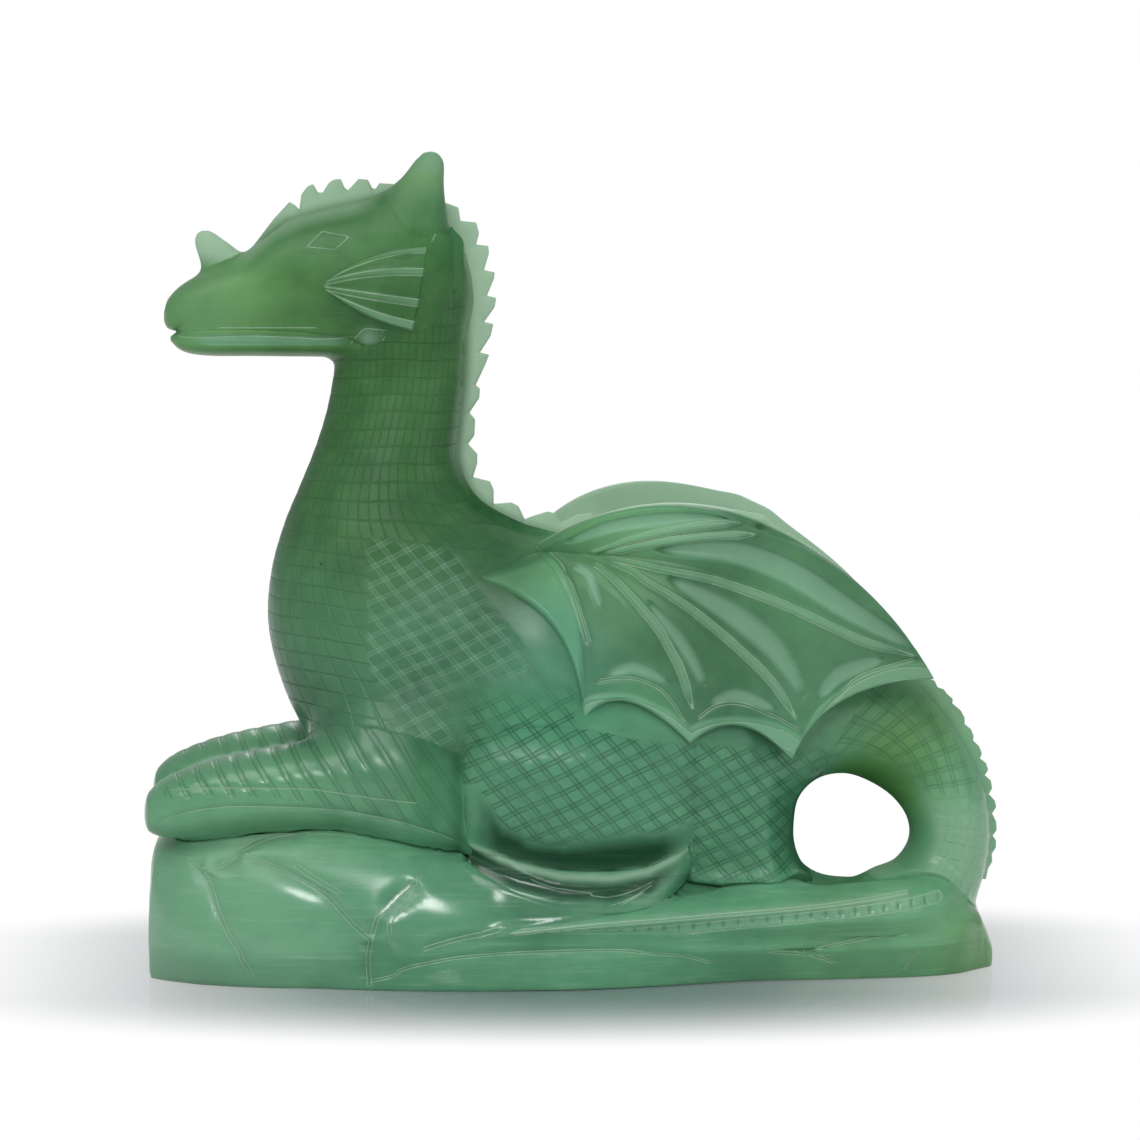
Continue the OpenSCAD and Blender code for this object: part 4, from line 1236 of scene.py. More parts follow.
def make_wings(sizes):
    """Folded wings, cut by hand and so not quite alike: the right one's upper edge is fuller,
    and ends a little lower and further back."""
    widths = [0.06, 0.15, 0.16, 0.24, 0.39]     # share of the columns in each panel
    for side, word, share in SIDES:
        out = eased(0, 1, count(205, share))
        q = np.concatenate([k + eased(0, 1, count(238 * width, share) + 2)[:-1]
                            for k, width in enumerate(widths)] + [[5.0]])
        fingers = FINGERS.copy()
        if side > 0:
            fingers[5, 1:, 2] += [2.2, 0.9, -0.6]
            fingers[5, 3, 0] += 0.8
            fingers[4, 2:, 2] += [-0.8, -0.3]
        face = rooted(wing_face(out, q, fingers), out, q)
        n = normals_of(face, False)
        n = n * np.sign(-n[..., 1:2].mean())
        relief, notes, cuts, gaps = work_wing(face, sizes)
        root, *free = edge_distance(face)
        whole = rounded(np.min(free, axis=0), 0.8) * rounded(root, 0.8)
        half = sizes.wing_thickness / 2
        middle = face + np.array([0, half, 0])
        outer = middle + n * ((half + relief) * whole)[..., None]
        inner = middle - n * (half * whole)[..., None]
        # At the shoulder the wing's stone is that of the back; its inner face is paler and lighter,
        # a painted glow of light through the thin wing
        near = step(0.12, 0.03, out)[:, None, None]
        notes = notes * (1 - near) + tone(face) * near
        thin_plate(word + "_wing", "wing_stone", outer, inner, {
            "tone": (notes, tone(inner, 0.75, 0.4)), "cuts": (cuts, FAR + 0 * cuts),
            "gaps": (gaps, 0 * gaps), "matt": (matt(face, 0.1), matt(face, 0.3))}, side)


EAR_APEX = np.array([-35.8, -8.7, 96.8])
EAR_HIND = np.array([[-21.9, -8.8, 90.2], [-20.4, -9.6, 96.4], [-19.6, -8.4, 102.8]])


def make_ear_fins():
    """Fans behind the cheeks: broad soft rays from the apex to the hind edge."""
    out, j = eased(0.02, 1, count(150)), eased(0, 1, count(150))
    t = j[None, :, None]
    hind = (EAR_HIND[0] * (1 - t) ** 2 + EAR_HIND[1] * 2 * t * (1 - t) + EAR_HIND[2] * t * t)
    o = out[:, None, None]
    bow = np.array([0, 0, 1.3]) * (4 * o * (1 - o)) * (2 * t - 0.75)
    face = EAR_APEX * (1 - o) + hind * o + bow
    tip, *rest = edge_distance(face)
    whole = rounded(np.min(rest, axis=0), 0.7) * rounded(tip, 1.5)
    rays = np.array([0.07, 0.34, 0.68, 0.93])       # shares of the way up the hind edge
    wide = 13.4 * out[:, None]                      # mm from the lower to the upper border
    offsets = (j[None, :, None] - rays) * wide[..., None]
    nearest = np.abs(offsets).argmin(-1)[..., None]
    ray = np.take_along_axis(offsets, nearest, -1)[..., 0]
    half = (0.1 + 0.42 * out[:, None]) * (1 + 0.6 * (j[None, :] < 0.2))
    ridge = ridged(half - np.abs(ray), 0.14) * step(0.04, 0.3, out)[:, None]
    lift = 1.2 * np.sin(np.radians(150) * out)[:, None] + 0.2 * ridge
    base = np.array([0, 3.4, 0])                    # mm that the fan goes into the cheek
    inner = face + base
    outer = face + base * (1 - whole[..., None])
    outer[..., 1] -= lift * whole
    cuts = triple(drawn(ray, step(0.02, 0.1, out)[:, None] + 0 * ray), FAR, FAR)
    notes = {"tone": (tone(outer, 0.05 * ridge, 0.15 * ridge), tone(inner)),
             "matt": (matt(outer), matt(inner)), "cuts": (cuts, FAR + 0 * cuts),
             "gaps": (triple(half + 0 * ray, 0, 0), 0 * cuts)}
    for side, word, _ in SIDES:
        thin_plate(word + "_ear_fin", "engraved_body_stone", outer, inner, notes, side)


def crest(name, corners, rail, sizes, pale):
    """A toothed plate: its outline runs through the corners, and from each point of it a
    flat section goes down to the rail and widens there into the stone."""
    corners, (rail, out) = np.asarray(corners, float), rail
    run = np.concatenate([[0], np.cumsum(np.hypot(*np.diff(corners, axis=0).T))])
    places = np.linspace(0, run[-1], count(int(run[-1] / 0.11)))
    edge = np.stack([np.interp(places, run, corners[:, k]) for k in (0, 1)], 1)
    edge[1:-1] = (edge[:-2] + 2 * edge[1:-1] + edge[2:]) / 4
    nearest = np.hypot(*(edge[:, None] - rail[None]).transpose(2, 0, 1)).argmin(1)
    nearest = np.maximum.accumulate(nearest)
    deep = 2.2          # mm that the plate goes on under the rail
    root = rail[nearest] - deep * out[nearest]
    u, v = oval(even_turns(40), 3.0)
    share = (1 + u)[None, :, None] / 2
    line = root[:, None] * (1 - share) + edge[:, None] * share
    h = np.linalg.norm(line - root[:, None], axis=2) - deep
    thin = sizes.crest_thickness / 2 * (1 - 0.35 * step(0, 3.2, h))
    thin = thin + 2.2 * np.exp(-(h + 0.5) / 0.55) * step(-deep, -1.4, h)
    points = triple(line[..., 0], np.minimum(thin, 3.5) * v, line[..., 1])
    corners, faces = capped(points)
    if outwards(points) < 0:
        faces = [f[:, ::-1] for f in faces]
    # Towards the teeth the plate is paler, a painted glow of light through the thin stone
    put(name, "thin_pale_stone", corners, faces,
        {"tone": tone(points, pale * step(-1.2, 1.2, h)), "matt": matt(points, 0.3)})


def spine_rail(first, last):
    """Outer edge of the spine between two stations, and the direction out from it."""
    places = np.linspace(first, last, 900)
    at = read(SPINE, places)[:, 0:2]
    d = np.gradient(at, axis=0)
    d = d / np.linalg.norm(d, axis=1, keepdims=True)
    return at, np.stack([-d[:, 1], d[:, 0]], 1)


# Outlines of the crests, as x, z in the side view
HEAD_TEETH = [
    [-45.6, 100.9], [-44, 102.9], [-41.7, 105.9], [-39.4, 108.4], [-38.6, 107.9],
    [-38.0, 107.3], [-37.75, 109.4], [-36.9, 110.5], [-36.1, 110.9], [-35.4, 109.7],
    [-34.7, 109.7], [-33.9, 111.0], [-33.2, 111.5], [-32.2, 111.6], [-31.7, 110.4],
    [-31.2, 110.0], [-30.7, 110.5], [-29.7, 111.6], [-28.4, 111.5], [-27.8, 110.3],
    [-27.3, 110.2], [-26.8, 111.0], [-24.8, 110.9], [-24.3, 110.4], [-22, 109.0],
]
NAPE_TEETH = [
    [-17.9, 108.4], [-15.7, 107.6], [-15.4, 105.7], [-13.2, 105.5], [-12.8, 104],
    [-13.2, 102.4], [-11.5, 102.2], [-11.4, 101.2], [-12.1, 98.8], [-10.6, 98.5],
    [-10.7, 97.6], [-11.7, 95.2], [-10.4, 94.9], [-10.6, 93.6], [-12.1, 91.5], [-10.8, 91.2],
    [-11.2, 89.5], [-12.7, 87.2], [-11.4, 86.9], [-11.9, 85.6], [-13.3, 82.6], [-12.7, 82.1],
    [-12.8, 80.8], [-14.2, 78.7], [-13.4, 77.8], [-13.5, 75.5], [-14.4, 74.3], [-13.1, 72.9],
    [-13.1, 71.6], [-13.7, 69.6], [-11.3, 69.0], [-10.8, 67.8], [-10.8, 65.8], [-8.3, 66.0],
    [-7.3, 65.5], [-6.4, 63.6], [-5.2, 64.1], [-3.2, 64.7], [-2.2, 64.5], [-1.2, 63.2],
    [0.8, 64.2], [3, 64.5], [4.5, 63.2],
]
TAIL_TEETH = [
    [48.6, 41.6], [50.6, 41.0], [51.9, 40.4], [52.3, 39.5], [53.2, 39.2], [53.6, 38.6], [54.5, 37.8],
    [54.4, 37.2], [55.6, 36.2], [56.2, 35.1], [56.2, 34.2], [57.1, 33.5], [57.5, 32.5],
    [57.4, 31.9], [58.3, 31], [58.7, 30], [58.4, 29.3], [59.3, 28.6], [59.6, 27.6],
    [59.1, 26.9], [60, 26.1], [60.2, 25], [59.7, 24.2], [60.6, 23.2], [60.8, 22.3],
    [60.2, 21.4], [60.8, 20.2], [60.9, 19], [60.3, 18.2], [60.8, 17.5], [60.8, 16.5],
    [60.2, 15.6], [60.3, 14.5], [59.7, 13.5], [59.4, 12],
]


def make_crests(sizes):
    """The toothed plates over the skull, down the nape and down the tail."""
    top = read(np.array(SKULL)[:, 0:2], np.linspace(4, 9, 600))
    up = np.tile([0.0, 1.0], (len(top), 1))
    crest("head_crest", HEAD_TEETH, (top, up), sizes, 0.75)
    crest("neck_crest", NAPE_TEETH, spine_rail(0.0, 9.0), sizes, 0.9)
    crest("tail_crest", TAIL_TEETH, spine_rail(20.5, 27.5), sizes, 0.3)


# ---------------------------------------------------------------- stone

def linear(code):
    """An sRGB hex value as linear red, green and blue."""
    values = [int(code[k:k + 2], 16) / 255 for k in (1, 3, 5)]
    return tuple(v / 12.92 if v <= 0.04045 else ((v + 0.055) / 1.055) ** 2.4 for v in values)


def shader(tree, kind, settings=None, inputs=None):
    """Adds a node, sets its properties, and links or sets each of its inputs: a node given
    as an input is linked by its first output."""
    node = tree.nodes.new("ShaderNode" + kind)
    for key, value in (settings or {}).items():
        setattr(node, key, value)
    for key, value in (inputs or {}).items():
        if isinstance(value, bpy.types.Node):
            value = value.outputs[0]
        if isinstance(value, bpy.types.NodeSocket):
            tree.links.new(value, node.inputs[key])
        else:
            node.inputs[key].default_value = value
    return node


def read_notes(tree):
    """Outputs for the notes that the meshes carry, three to a note, by the notes' names."""
    notes = {}
    for key in BLANK:
        vector = shader(tree, "Attribute", {"attribute_name": key}).outputs["Vector"]
        notes[key] = shader(tree, "SeparateXYZ", None, {0: vector}).outputs
    return notes


def stone_colour(tree, place, fine, tones, colours, streaks):
    """The stone's colour, with the painted light and shade that the notes give: clouds between two
    greens, yellow-green and blue-green veins, pale bedding streaks, and paler thin edges, a
    painted glow of light through thin stone."""
    pale, warm, light = tones
    # Clouds 20 mm across, broken by finer ones of 4 mm
    broad = shader(tree, "TexNoise", None, {
        "Vector": place, "Scale": 52.0, "Detail": 4.0, "Roughness": 0.55, "Distortion": 0.6})
    cloud = shader(tree, "Math", {"operation": "MULTIPLY_ADD"}, {0: fine, 1: 0.5, 2: broad})
    share = shader(tree, "Math", {"operation": "MULTIPLY_ADD"}, {0: light, 1: 0.5, 2: -0.025})
    share = shader(tree, "Math", {"operation": "MULTIPLY_ADD", "use_clamp": True},
                   {0: cloud, 1: 0.7, 2: share})
    colour = shader(tree, "Mix", {"data_type": "RGBA"}, {
        0: share, 6: tuple(colours.deep) + (1,), 7: tuple(colours.light) + (1,)}).outputs[2]
    # Veins tint it: yellow-green where warmth is above zero, blue-green below
    warmth = shader(tree, "Math", {"operation": "MULTIPLY_ADD"}, {0: fine, 1: 0.5, 2: -0.25})
    warmth = shader(tree, "Math", {"operation": "ADD"}, {0: warmth, 1: warm})
    for way, tint in ((1.0, colours.warm), (-1.0, colours.cool)):
        much = shader(tree, "Math", {"operation": "MULTIPLY", "use_clamp": True},
                      {0: warmth, 1: way})
        colour = shader(tree, "Mix", {"data_type": "RGBA", "blend_type": "MULTIPLY"},
                        {0: much, 6: colour, 7: tuple(tint) + (1,)}).outputs[2]
    # Bedding streaks 10 mm long and half a millimetre high
    layers = shader(tree, "Mapping", None, {"Vector": place, "Scale": (95.0, 300.0, 1700.0)})
    streak = shader(tree, "TexNoise", None, {
        "Vector": layers, "Scale": 1.0, "Detail": 4.0, "Roughness": 0.65})
    streak = shader(tree, "MapRange", None, {
        "Value": streak, "From Min": 0.54, "From Max": 0.8, "To Max": streaks})
    clear = shader(tree, "Math", {"use_clamp": True}, {0: pale, 1: 0.0})
    for much, code in ((streak, colours.streak), (clear, colours.pale)):
        colour = shader(tree, "Mix", {"data_type": "RGBA"},
                        {0: much, 6: colour, 7: tuple(code) + (1,)}).outputs[2]
    return colour


def specked(tree, place, colour):
    """Specks of dark mineral up to half a millimetre across, here and there."""
    cells = shader(tree, "TexVoronoi", None, {"Vector": place, "Scale": 230.0})
    some = shader(tree, "SeparateColor", None, {0: cells.outputs["Color"]})
    chosen = shader(tree, "Math", {"operation": "GREATER_THAN"}, {0: some, 1: 0.8})
    speck = shader(tree, "MapRange", None, {
        "Value": cells.outputs["Distance"], "From Min": 0.03, "From Max": 0.055,
        "To Min": 0.8, "To Max": 0.0})
    speck = shader(tree, "Math", {"operation": "MULTIPLY"}, {0: speck, 1: chosen})
    return shader(tree, "Mix", {"data_type": "RGBA"}, {
        0: speck, 6: colour, 7: linear("#16301c") + (1,)}).outputs[2]


def off_pair(tree, off, gap):
    """Distance from the nearer line of a pair, each a gap away from the pair's middle."""
    for operation, other in (("SUBTRACT", gap), ("ABSOLUTE", 0)):
        off = shader(tree, "Math", {"operation": operation}, {0: off, 1: other})
    return off


def repeated_lines(tree, place, worn, notes, colours, line_dark, colour):
    """Wheel lines wherever a number in the notes is whole, single or as a pair with a gap to
    either side and darker between.  Gives the colour with them, and how deep they are."""
    hatch, rings = notes["hatch"], notes["rings"]
    wander = shader(tree, "TexNoise", None, {"Vector": place, "Scale": 900.0, "Detail": 2.0})
    jitter = shader(tree, "Math", {"operation": "MULTIPLY_ADD"}, {0: wander, 1: 0.036, 2: -0.018})
    lines = 0
    for number, gap, width, strength, dark in (
            (hatch[0], 0.125, 0.055, hatch[2], line_dark),
            (hatch[1], 0.125, 0.055, hatch[2], line_dark),
            (rings[0], 0.0, 0.07, rings[2], line_dark * 0.32),
            (rings[1], 0.0, 0.1, rings[2], line_dark * 0.16)):
        number = shader(tree, "Math", {"operation": "ADD"}, {0: number, 1: jitter})
        whole = shader(tree, "Math", {"operation": "ROUND"}, {0: number})
        off = off_pair(tree, number, whole)
        inside = shader(tree, "MapRange", None, {
            "Value": off, "From Min": gap, "From Max": gap + width, "To Min": 0.35,
            "To Max": 0.0})
        line = shader(tree, "MapRange", {"interpolation_type": "SMOOTHSTEP"}, {
            "Value": off_pair(tree, off, gap), "From Min": width * 0.35, "From Max": width,
            "To Min": 1.0, "To Max": 0.0})
        for operation, other in (("MAXIMUM", inside), ("MULTIPLY", strength), ("MULTIPLY", worn)):
            line = shader(tree, "Math", {"operation": operation}, {0: line, 1: other})
        # Above zero the line is darkened, painted shade in the cut; below zero, the strength is that
        # of a line which is lighter than the stone, a painted glint
        for way, code in ((dark, colours.groove), (-0.42, colours.streak)):
            much = shader(tree, "Math", {"operation": "MULTIPLY", "use_clamp": True},
                          {0: line, 1: way})
            colour = shader(tree, "Mix", {"data_type": "RGBA"}, {
                0: much, 6: colour, 7: tuple(code) + (1,)}).outputs[2]
        line = shader(tree, "Math", {"operation": "ABSOLUTE"}, {0: line})
        lines = shader(tree, "Math", {"operation": "MAXIMUM"}, {0: lines, 1: line})
    return colour, lines


def single_lines(tree, worn, notes, colours, colour, lines):
    """Wheel lines drawn one by one, which catch the light; between a wide pair of them is a
    raised band, polished lighter.  Gives the colour with them, and how deep all lines are."""
    for cut, gap in zip(notes["cuts"], notes["gaps"]):
        off = shader(tree, "Math", {"operation": "ABSOLUTE"}, {0: cut})
        inside = shader(tree, "Math", {"operation": "LESS_THAN"}, {0: off, 1: gap})
        band = shader(tree, "MapRange", None, {
            "Value": gap, "From Min": 0.3, "From Max": 0.6, "To Max": 0.3})
        band = shader(tree, "Math", {"operation": "MULTIPLY"}, {0: inside, 1: band})
        line = shader(tree, "MapRange", {"interpolation_type": "SMOOTHSTEP"}, {
            "Value": off_pair(tree, off, gap), "From Min": 0.03, "From Max": 0.13,
            "To Min": 1.0, "To Max": 0.0})
        line = shader(tree, "Math", {"operation": "MULTIPLY"}, {0: line, 1: worn})
        much = shader(tree, "Math", {"operation": "MULTIPLY"}, {0: line, 1: 0.6})
        for share, code in ((band, colours.streak), (much, colours.pale)):
            colour = shader(tree, "Mix", {"data_type": "RGBA"}, {
                0: share, 6: colour, 7: tuple(code) + (1,)}).outputs[2]
        lines = shader(tree, "Math", {"operation": "MAXIMUM"}, {0: lines, 1: line})
    return colour, lines


def polished(tree, place, fine, dull, polish, colour, lines):
    """The surface: glassy, with the faint ripples that polishing leaves, a millimetre or two
    across; rougher and less shiny where it is matt and in the lines."""
    ripple = shader(tree, "TexNoise", None, {"Vector": place, "Scale": 520.0, "Detail": 2.0})
    ripple = shader(tree, "Math", {"operation": "MULTIPLY"}, {0: ripple, 1: 0.16})
    height = shader(tree, "Math", {"operation": "SUBTRACT"}, {0: ripple, 1: lines})
    bump = shader(tree, "Bump", None, {"Height": height, "Strength": 0.9, "Distance": 0.00009})
    rough = polish
    for value, much in ((fine, 0.14), (lines, 0.16), (dull, 0.22)):
        rough = shader(tree, "Math", {"operation": "MULTIPLY_ADD"}, {0: value, 1: much, 2: rough})
    shine = shader(tree, "Math", {"operation": "MULTIPLY_ADD"}, {0: dull, 1: -0.3, 2: 0.45})
    return shader(tree, "BsdfPrincipled", None, {
        "Base Color": colour, "Roughness": rough, "Normal": bump, "IOR": 1.52,
        "Specular IOR Level": shine, "Subsurface Weight": 0.2, "Subsurface Scale": 0.0014,
        "Subsurface Radius": (0.45, 1.0, 0.6)})


def aventurine(name, colours, streaks, polish, line_dark):
    """Green aventurine, a quartz full of fine green mica, ground and polished by hand: deep
    cloudy colour, a wet-looking surface, thin edges that let light in and look paler, dark
    mineral specks, and matt lines where the cutting wheel went."""
    material = bpy.data.materials.new(name)
    material.use_nodes = True
    tree = material.node_tree
    tree.nodes.clear()
    place = shader(tree, "TexCoord").outputs["Object"]
    notes = read_notes(tree)
    fine = shader(tree, "TexNoise", None, {
        "Vector": place, "Scale": 260.0, "Detail": 3.0, "Roughness": 0.6})
    # The lines are worn faint in places
    worn = shader(tree, "MapRange", None, {
        "Value": fine, "From Min": 0.3, "From Max": 0.6, "To Min": 0.4})
    colour = stone_colour(tree, place, fine, notes["tone"], colours, streaks)
    colour = specked(tree, place, colour)
    colour, lines = repeated_lines(tree, place, worn, notes, colours, line_dark, colour)
    colour, lines = single_lines(tree, worn, notes, colours, colour, lines)
    surface = polished(tree, place, fine, notes["matt"][0], polish, colour, lines)
    shader(tree, "OutputMaterial", None, {"Surface": surface})
    return material


# ---------------------------------------------------------------- stage

def look_from(azimuth, elevation, away, at):
    """Camera place and turn: azimuth 0 looks along +Y and 90 along -X, angles in degrees."""
    a, e = math.radians(azimuth), math.radians(elevation)
    offset = np.array([math.sin(a) * math.cos(e), -math.cos(a) * math.cos(e), math.sin(e)])
    return np.array(at) + away * offset, (math.pi / 2 - e, 0.0, a)


def softbox(name, at, aim, size, power, colour):
    """A square soft lamp that faces the aim."""
    lamp = bpy.data.lights.new(name, "AREA")
    lamp.shape, lamp.size, lamp.energy, lamp.color = "SQUARE", size, power, colour
    obj = bpy.data.objects.new(name, lamp)
    direction = np.array(aim) - np.array(at)
    yaw = math.atan2(direction[1], direction[0]) - math.pi / 2
    pitch = math.atan2(direction[2], math.hypot(direction[0], direction[1])) + math.pi / 2
    obj.location, obj.rotation_euler = at, (pitch, 0, yaw)
    bpy.context.scene.collection.objects.link(obj)


def set_camera(stage):
    """The camera, two degrees off square to the carving's left side and five above it."""
    scene = bpy.context.scene
    scene.view_settings.view_transform = "Standard"
    camera = bpy.data.cameras.new("camera")
    camera.sensor_width = 36.0
    camera.lens = camera.sensor_width / 2 / math.tan(stage.view_width / 2)
    camera.clip_start, camera.clip_end = 0.01, 20.0
    obj = bpy.data.objects.new("camera", camera)
    away, middle = 0.698, (-0.0006, 0.0, 0.0562)
    obj.location, obj.rotation_euler = look_from(-2.0, 5.0, away, middle)
    scene.collection.objects.link(obj)
    scene.camera = obj


def seen_by(tree, *kinds):
    """1 for rays of these kinds, and 0 for all others."""
    ray, seen = shader(tree, "LightPath").outputs, 0
    for kind in kinds:
        seen = shader(tree, "Math", {"operation": "MAXIMUM"}, {0: seen, 1: ray[kind]})
    return seen


def white_board(stage):
    """Smooth board that keeps the carving's shadow and mirrors its foot.  What is seen of it
    is greyer near the carving, a painted shadow and reflection, and further off it gives way
    to the white surround."""
    board = bpy.data.materials.new("white_board")
    board.use_nodes = True
    tree = board.node_tree
    tree.nodes.clear()
    seen = seen_by(tree, "Is Camera Ray", "Is Glossy Ray", "Is Transmission Ray")
    colour = shader(tree, "Mix", {"data_type": "RGBA"}, {
        0: seen, 6: tuple(stage.floor_colour) + (1,), 7: tuple(stage.painted_shadow_colour) + (1,)})
    surface = shader(tree, "BsdfPrincipled", None, {
        "Base Color": colour.outputs[2], "Roughness": 0.1, "IOR": 1.6})
    # How far off: in front and behind from the plinth's edge, along it from its middle
    away = shader(tree, "TexCoord").outputs["Object"]
    for operation, other in (("ABSOLUTE", (0, 0, 0)), ("SUBTRACT", (0, 0.022, 0)),
                             ("MAXIMUM", (0, 0, 0)), ("DIVIDE", (0.095, 0.045, 1))):
        away = shader(tree, "VectorMath", {"operation": operation}, {0: away, 1: other})
    away = shader(tree, "VectorMath", {"operation": "LENGTH"}, {0: away})
    away = shader(tree, "Math", {"operation": "POWER"}, {0: away.outputs["Value"], 1: 2.0})
    fade = shader(tree, "MapRange", {"interpolation_type": "SMOOTHSTEP"}, {
        "Value": away, "From Min": -0.35, "From Max": 1.0, "To Min": -0.17})
    for operation, other in (("MAXIMUM", 0), ("MULTIPLY", seen)):
        fade = shader(tree, "Math", {"operation": operation}, {0: fade, 1: other})
    white = shader(tree, "Emission", None, {"Color": (1, 1, 1, 1), "Strength": 1.0})
    both = shader(tree, "MixShader", None, {0: fade, 1: surface, 2: white})
    shader(tree, "OutputMaterial", None, {"Surface": both})
    return board


def lay_floor(stage):
    """A flat board, 6 m square, under the carving."""
    mesh = bpy.data.meshes.new("floor")
    half = 3.0
    mesh.from_pydata([(-half, -half, 0), (half, -half, 0), (half, half, 0), (-half, half, 0)],
                     [], [(0, 1, 2, 3)])
    mesh.materials.append(white_board(stage))
    floor = bpy.data.objects.new("floor", mesh)
    bpy.context.scene.collection.objects.link(floor)
    floor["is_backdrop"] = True


def surround(stage):
    """A room that is seen white, and lights the carving more dimly and a little bluer."""
    world = bpy.data.worlds.new("studio")
    world.use_nodes = True
    bpy.context.scene.world = world
    tree = world.node_tree
    tree.nodes.clear()
    lit = shader(tree, "Background", None,
                 {"Color": (0.93, 0.97, 1.0, 1), "Strength": stage.surround})
    white = shader(tree, "Background", None, {"Color": (1, 1, 1, 1), "Strength": 1.0})
    both = shader(tree, "MixShader", None, {
        0: seen_by(tree, "Is Camera Ray", "Is Transmission Ray"), 1: lit, 2: white})
    shader(tree, "OutputWorld", None, {"Surface": both})


def make_stage(stage):
    """Camera, floor, white surroundings and four soft lamps."""
    set_camera(stage)
    lay_floor(stage)
    surround(stage)
    middle = (0, 0, 0.05)
    softbox("key", (-0.25, -0.42, 0.6), middle, 0.4, stage.key, (1.0, 0.99, 0.97))
    softbox("fill", (0.6, -0.55, 0.3), middle, 0.5, stage.fill, (0.97, 0.99, 1.0))
    softbox("back", (0.1, 0.7, 0.5), middle, 0.5, stage.back, (1.0, 1.0, 1.0))
    softbox("glint", (-0.06, -0.62, 0.34), middle, 0.11, stage.glint, (1.0, 1.0, 1.0))


# ---------------------------------------------------------------- add-on

def size_property(name, description, mm, low, high):
    """A length that a user can change, kept in metres, from its value and limits in mm."""
    return bpy.props.FloatProperty(name=name, description=description, default=mm / 1000,
                                   min=low / 1000, max=high / 1000, unit="LENGTH")


class CarvingSizes(bpy.types.PropertyGroup):
    """Sizes of the carved detail."""
    hatch_fall: size_property("Falling lines", "From one line that falls to the next",
                              2.35, 1.5, 4)
    hatch_rise: size_property("Rising lines", "From one line that rises to the next",
                              2.15, 1.5, 4)
    hatch_depth: size_property("Scale relief", "How deep the skin sinks between scales",
                               0.11, 0, 0.3)
    ring_pitch: size_property("Neck rings", "From one of the neck's rings to the next",
                              2.4, 1.5, 5)
    rib_height: size_property("Rib height", "How far the wing's ribs stand up", 0.38, 0.1, 1)
    wing_thickness: size_property("Wing thickness", "Thickness of a wing", 2.6, 1.5, 4)
    crest_thickness: size_property("Crest thickness", "Thickness of a crest at its root",
                                   1.8, 1, 3)


def in_mm(group):
    """A group's lengths in mm, by their names."""
    return types.SimpleNamespace(**{key: getattr(group, key) * 1000
                                    for key in group.__annotations__})


def colour_property(name, description, code):
    """A colour that a user can change, from its sRGB hex value."""
    return bpy.props.FloatVectorProperty(name=name, description=description, size=3,
                                         subtype="COLOR", default=linear(code), min=0, max=1)


class StoneColours(bpy.types.PropertyGroup):
    """Colours of the stone."""
    deep: colour_property("Deep stone", "Darkest clouds", "#1d4a2c")
    light: colour_property("Light stone", "Lightest clouds", "#67a077")
    warm: colour_property("Warm veins", "Tint of the yellow-green veins", "#fffbc8")
    cool: colour_property("Cool veins", "Tint of the blue-green veins", "#e4f5ff")
    streak: colour_property("Streaks", "Pale bedding streaks", "#8fb79d")
    # Thin stone's paleness is a painted glow of light through it; the same colour paints highlights
    # on lips, ridges and lines
    pale: colour_property("Thin edges", "Where the stone is thin", "#a3c0a5")
    # The dark of the engraved lines is painted shade in them
    groove: colour_property("Wheel lines", "In the engraved lines", "#215035")


def lamp_property(name, description, watts):
    """The power of a lamp that a user can change."""
    return bpy.props.FloatProperty(name=name, description=description, default=watts,
                                   min=0, max=100, unit="POWER")


class StageSettings(bpy.types.PropertyGroup):
    """Camera, lamps and floor."""
    view_width: bpy.props.FloatProperty(
        name="View width", description="Angle of view", subtype="ANGLE",
        default=math.radians(13.1454), min=math.radians(5), max=math.radians(60))
    key: lamp_property("Key lamp", "Large lamp above the carving's head", 1.9)
    fill: lamp_property("Fill lamp", "Large lamp on the tail's side", 1.2)
    back: lamp_property("Back lamp", "Large lamp behind", 1.6)
    glint: lamp_property("Glint lamp", "Small lamp above the camera, for sharp lights", 0.9)
    surround: bpy.props.FloatProperty(name="Surround", description="Strength of the room light",
                                      default=0.42, min=0, max=3)
    floor_colour: colour_property("Floor", "Colour of the board", "#f4f5f4")
    # The board seen greyer near the carving is a painted shadow and reflection
    painted_shadow_colour: colour_property("Near the carving", "Board as seen near the carving",
                                 "#76858a")


class BodyOperator(bpy.types.Operator):
    """Make the neck, torso and tail loop"""
    bl_idname = "carving.body"
    bl_label = "Neck, torso and tail"

    def execute(self, context):
        make_neck_torso_tail(in_mm(context.scene.carving_sizes))
        return {"FINISHED"}


class LimbsOperator(bpy.types.Operator):
    """Make the forelegs, haunches and hind feet"""
    bl_idname = "carving.limbs"
    bl_label = "Limbs"

    def execute(self, context):
        make_limbs(in_mm(context.scene.carving_sizes))
        return {"FINISHED"}


class TailEndOperator(bpy.types.Operator):
    """Make the end of the tail along the plinth"""
    bl_idname = "carving.tail_end"
    bl_label = "Tail end"

    def execute(self, context):
        make_tail_end()
        return {"FINISHED"}


class RockOperator(bpy.types.Operator):
    """Make the rock plinth"""
    bl_idname = "carving.rock"
    bl_label = "Rock plinth"

    def execute(self, context):
        make_rock()
        return {"FINISHED"}


class HeadOperator(bpy.types.Operator):
    """Make the skull and jaw"""
    bl_idname = "carving.head"
    bl_label = "Head"

    def execute(self, context):
        make_head()
        return {"FINISHED"}


class HornsOperator(bpy.types.Operator):
    """Make the horns and the nose leaf"""
    bl_idname = "carving.horns"
    bl_label = "Horns"

    def execute(self, context):
        make_horns()
        return {"FINISHED"}


class EarsOperator(bpy.types.Operator):
    """Make the ribbed ear fins"""
    bl_idname = "carving.ears"
    bl_label = "Ear fins"

    def execute(self, context):
        make_ear_fins()
        return {"FINISHED"}


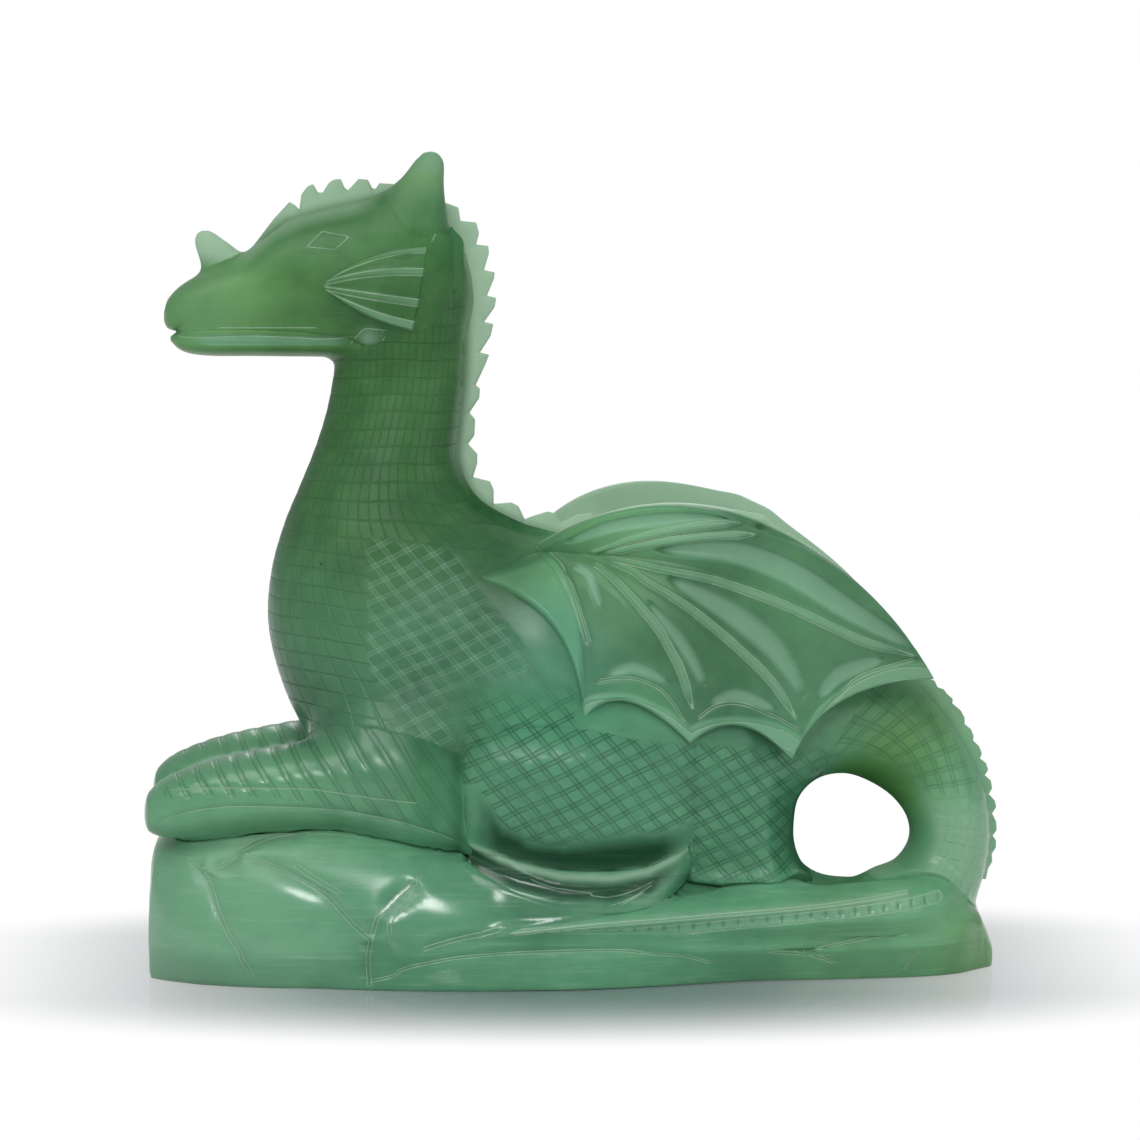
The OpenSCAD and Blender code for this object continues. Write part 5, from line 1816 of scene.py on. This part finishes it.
class WingsOperator(bpy.types.Operator):
    """Make the folded wings"""
    bl_idname = "carving.wings"
    bl_label = "Wings"

    def execute(self, context):
        make_wings(in_mm(context.scene.carving_sizes))
        return {"FINISHED"}


class CrestsOperator(bpy.types.Operator):
    """Make the toothed crests of the head, nape and tail"""
    bl_idname = "carving.crests"
    bl_label = "Crests"

    def execute(self, context):
        make_crests(in_mm(context.scene.carving_sizes))
        return {"FINISHED"}


class StageOperator(bpy.types.Operator):
    """Set the floor, lamps and camera"""
    bl_idname = "carving.stage"
    bl_label = "Stage"

    def execute(self, context):
        make_stage(context.scene.carving_stage)
        return {"FINISHED"}


class CarvingPanel(bpy.types.Panel):
    """Lists the carving's pieces and settings"""
    bl_label = "Carving"
    bl_idname = "VIEW3D_PT_carving"
    bl_space_type = "VIEW_3D"
    bl_region_type = "UI"
    bl_category = "Carving"

    def draw(self, context):
        for group in (context.scene.carving_sizes, context.scene.carving_colours,
                      context.scene.carving_stage):
            box = self.layout.box()
            for key in group.__annotations__:
                box.prop(group, key)
        for operator in OPERATORS:
            self.layout.operator(operator.bl_idname)


GROUPS = (CarvingSizes, StoneColours, StageSettings)
OPERATORS = (StageOperator, BodyOperator, LimbsOperator, TailEndOperator, RockOperator,
             HeadOperator, HornsOperator, EarsOperator, WingsOperator, CrestsOperator)


def register():
    for group in GROUPS + OPERATORS + (CarvingPanel,):
        bpy.utils.register_class(group)
    bpy.types.Scene.carving_sizes = bpy.props.PointerProperty(type=CarvingSizes)
    bpy.types.Scene.carving_colours = bpy.props.PointerProperty(type=StoneColours)
    bpy.types.Scene.carving_stage = bpy.props.PointerProperty(type=StageSettings)


def unregister():
    del bpy.types.Scene.carving_sizes
    del bpy.types.Scene.carving_colours
    del bpy.types.Scene.carving_stage
    for group in reversed(GROUPS + OPERATORS + (CarvingPanel,)):
        bpy.utils.unregister_class(group)


def mix_stones(colours):
    """The four finishes of the one stone."""
    for slot, streaks, polish, line_dark in (
            ("engraved_body_stone", 0.06, 0.12, 0.55), ("polished_plinth_stone", 0.4, 0.1, 0.5),
            ("wing_stone", 0.05, 0.13, 0.4), ("thin_pale_stone", 0.05, 0.16, 0.3)):
        STONES[slot] = aventurine(slot, colours, streaks, polish, line_dark)


def main():
    register()
    mix_stones(bpy.context.scene.carving_colours)
    for operator in OPERATORS:
        group, name = operator.bl_idname.split(".")
        getattr(getattr(bpy.ops, group), name)()


if __name__ == "__main__":
    main()
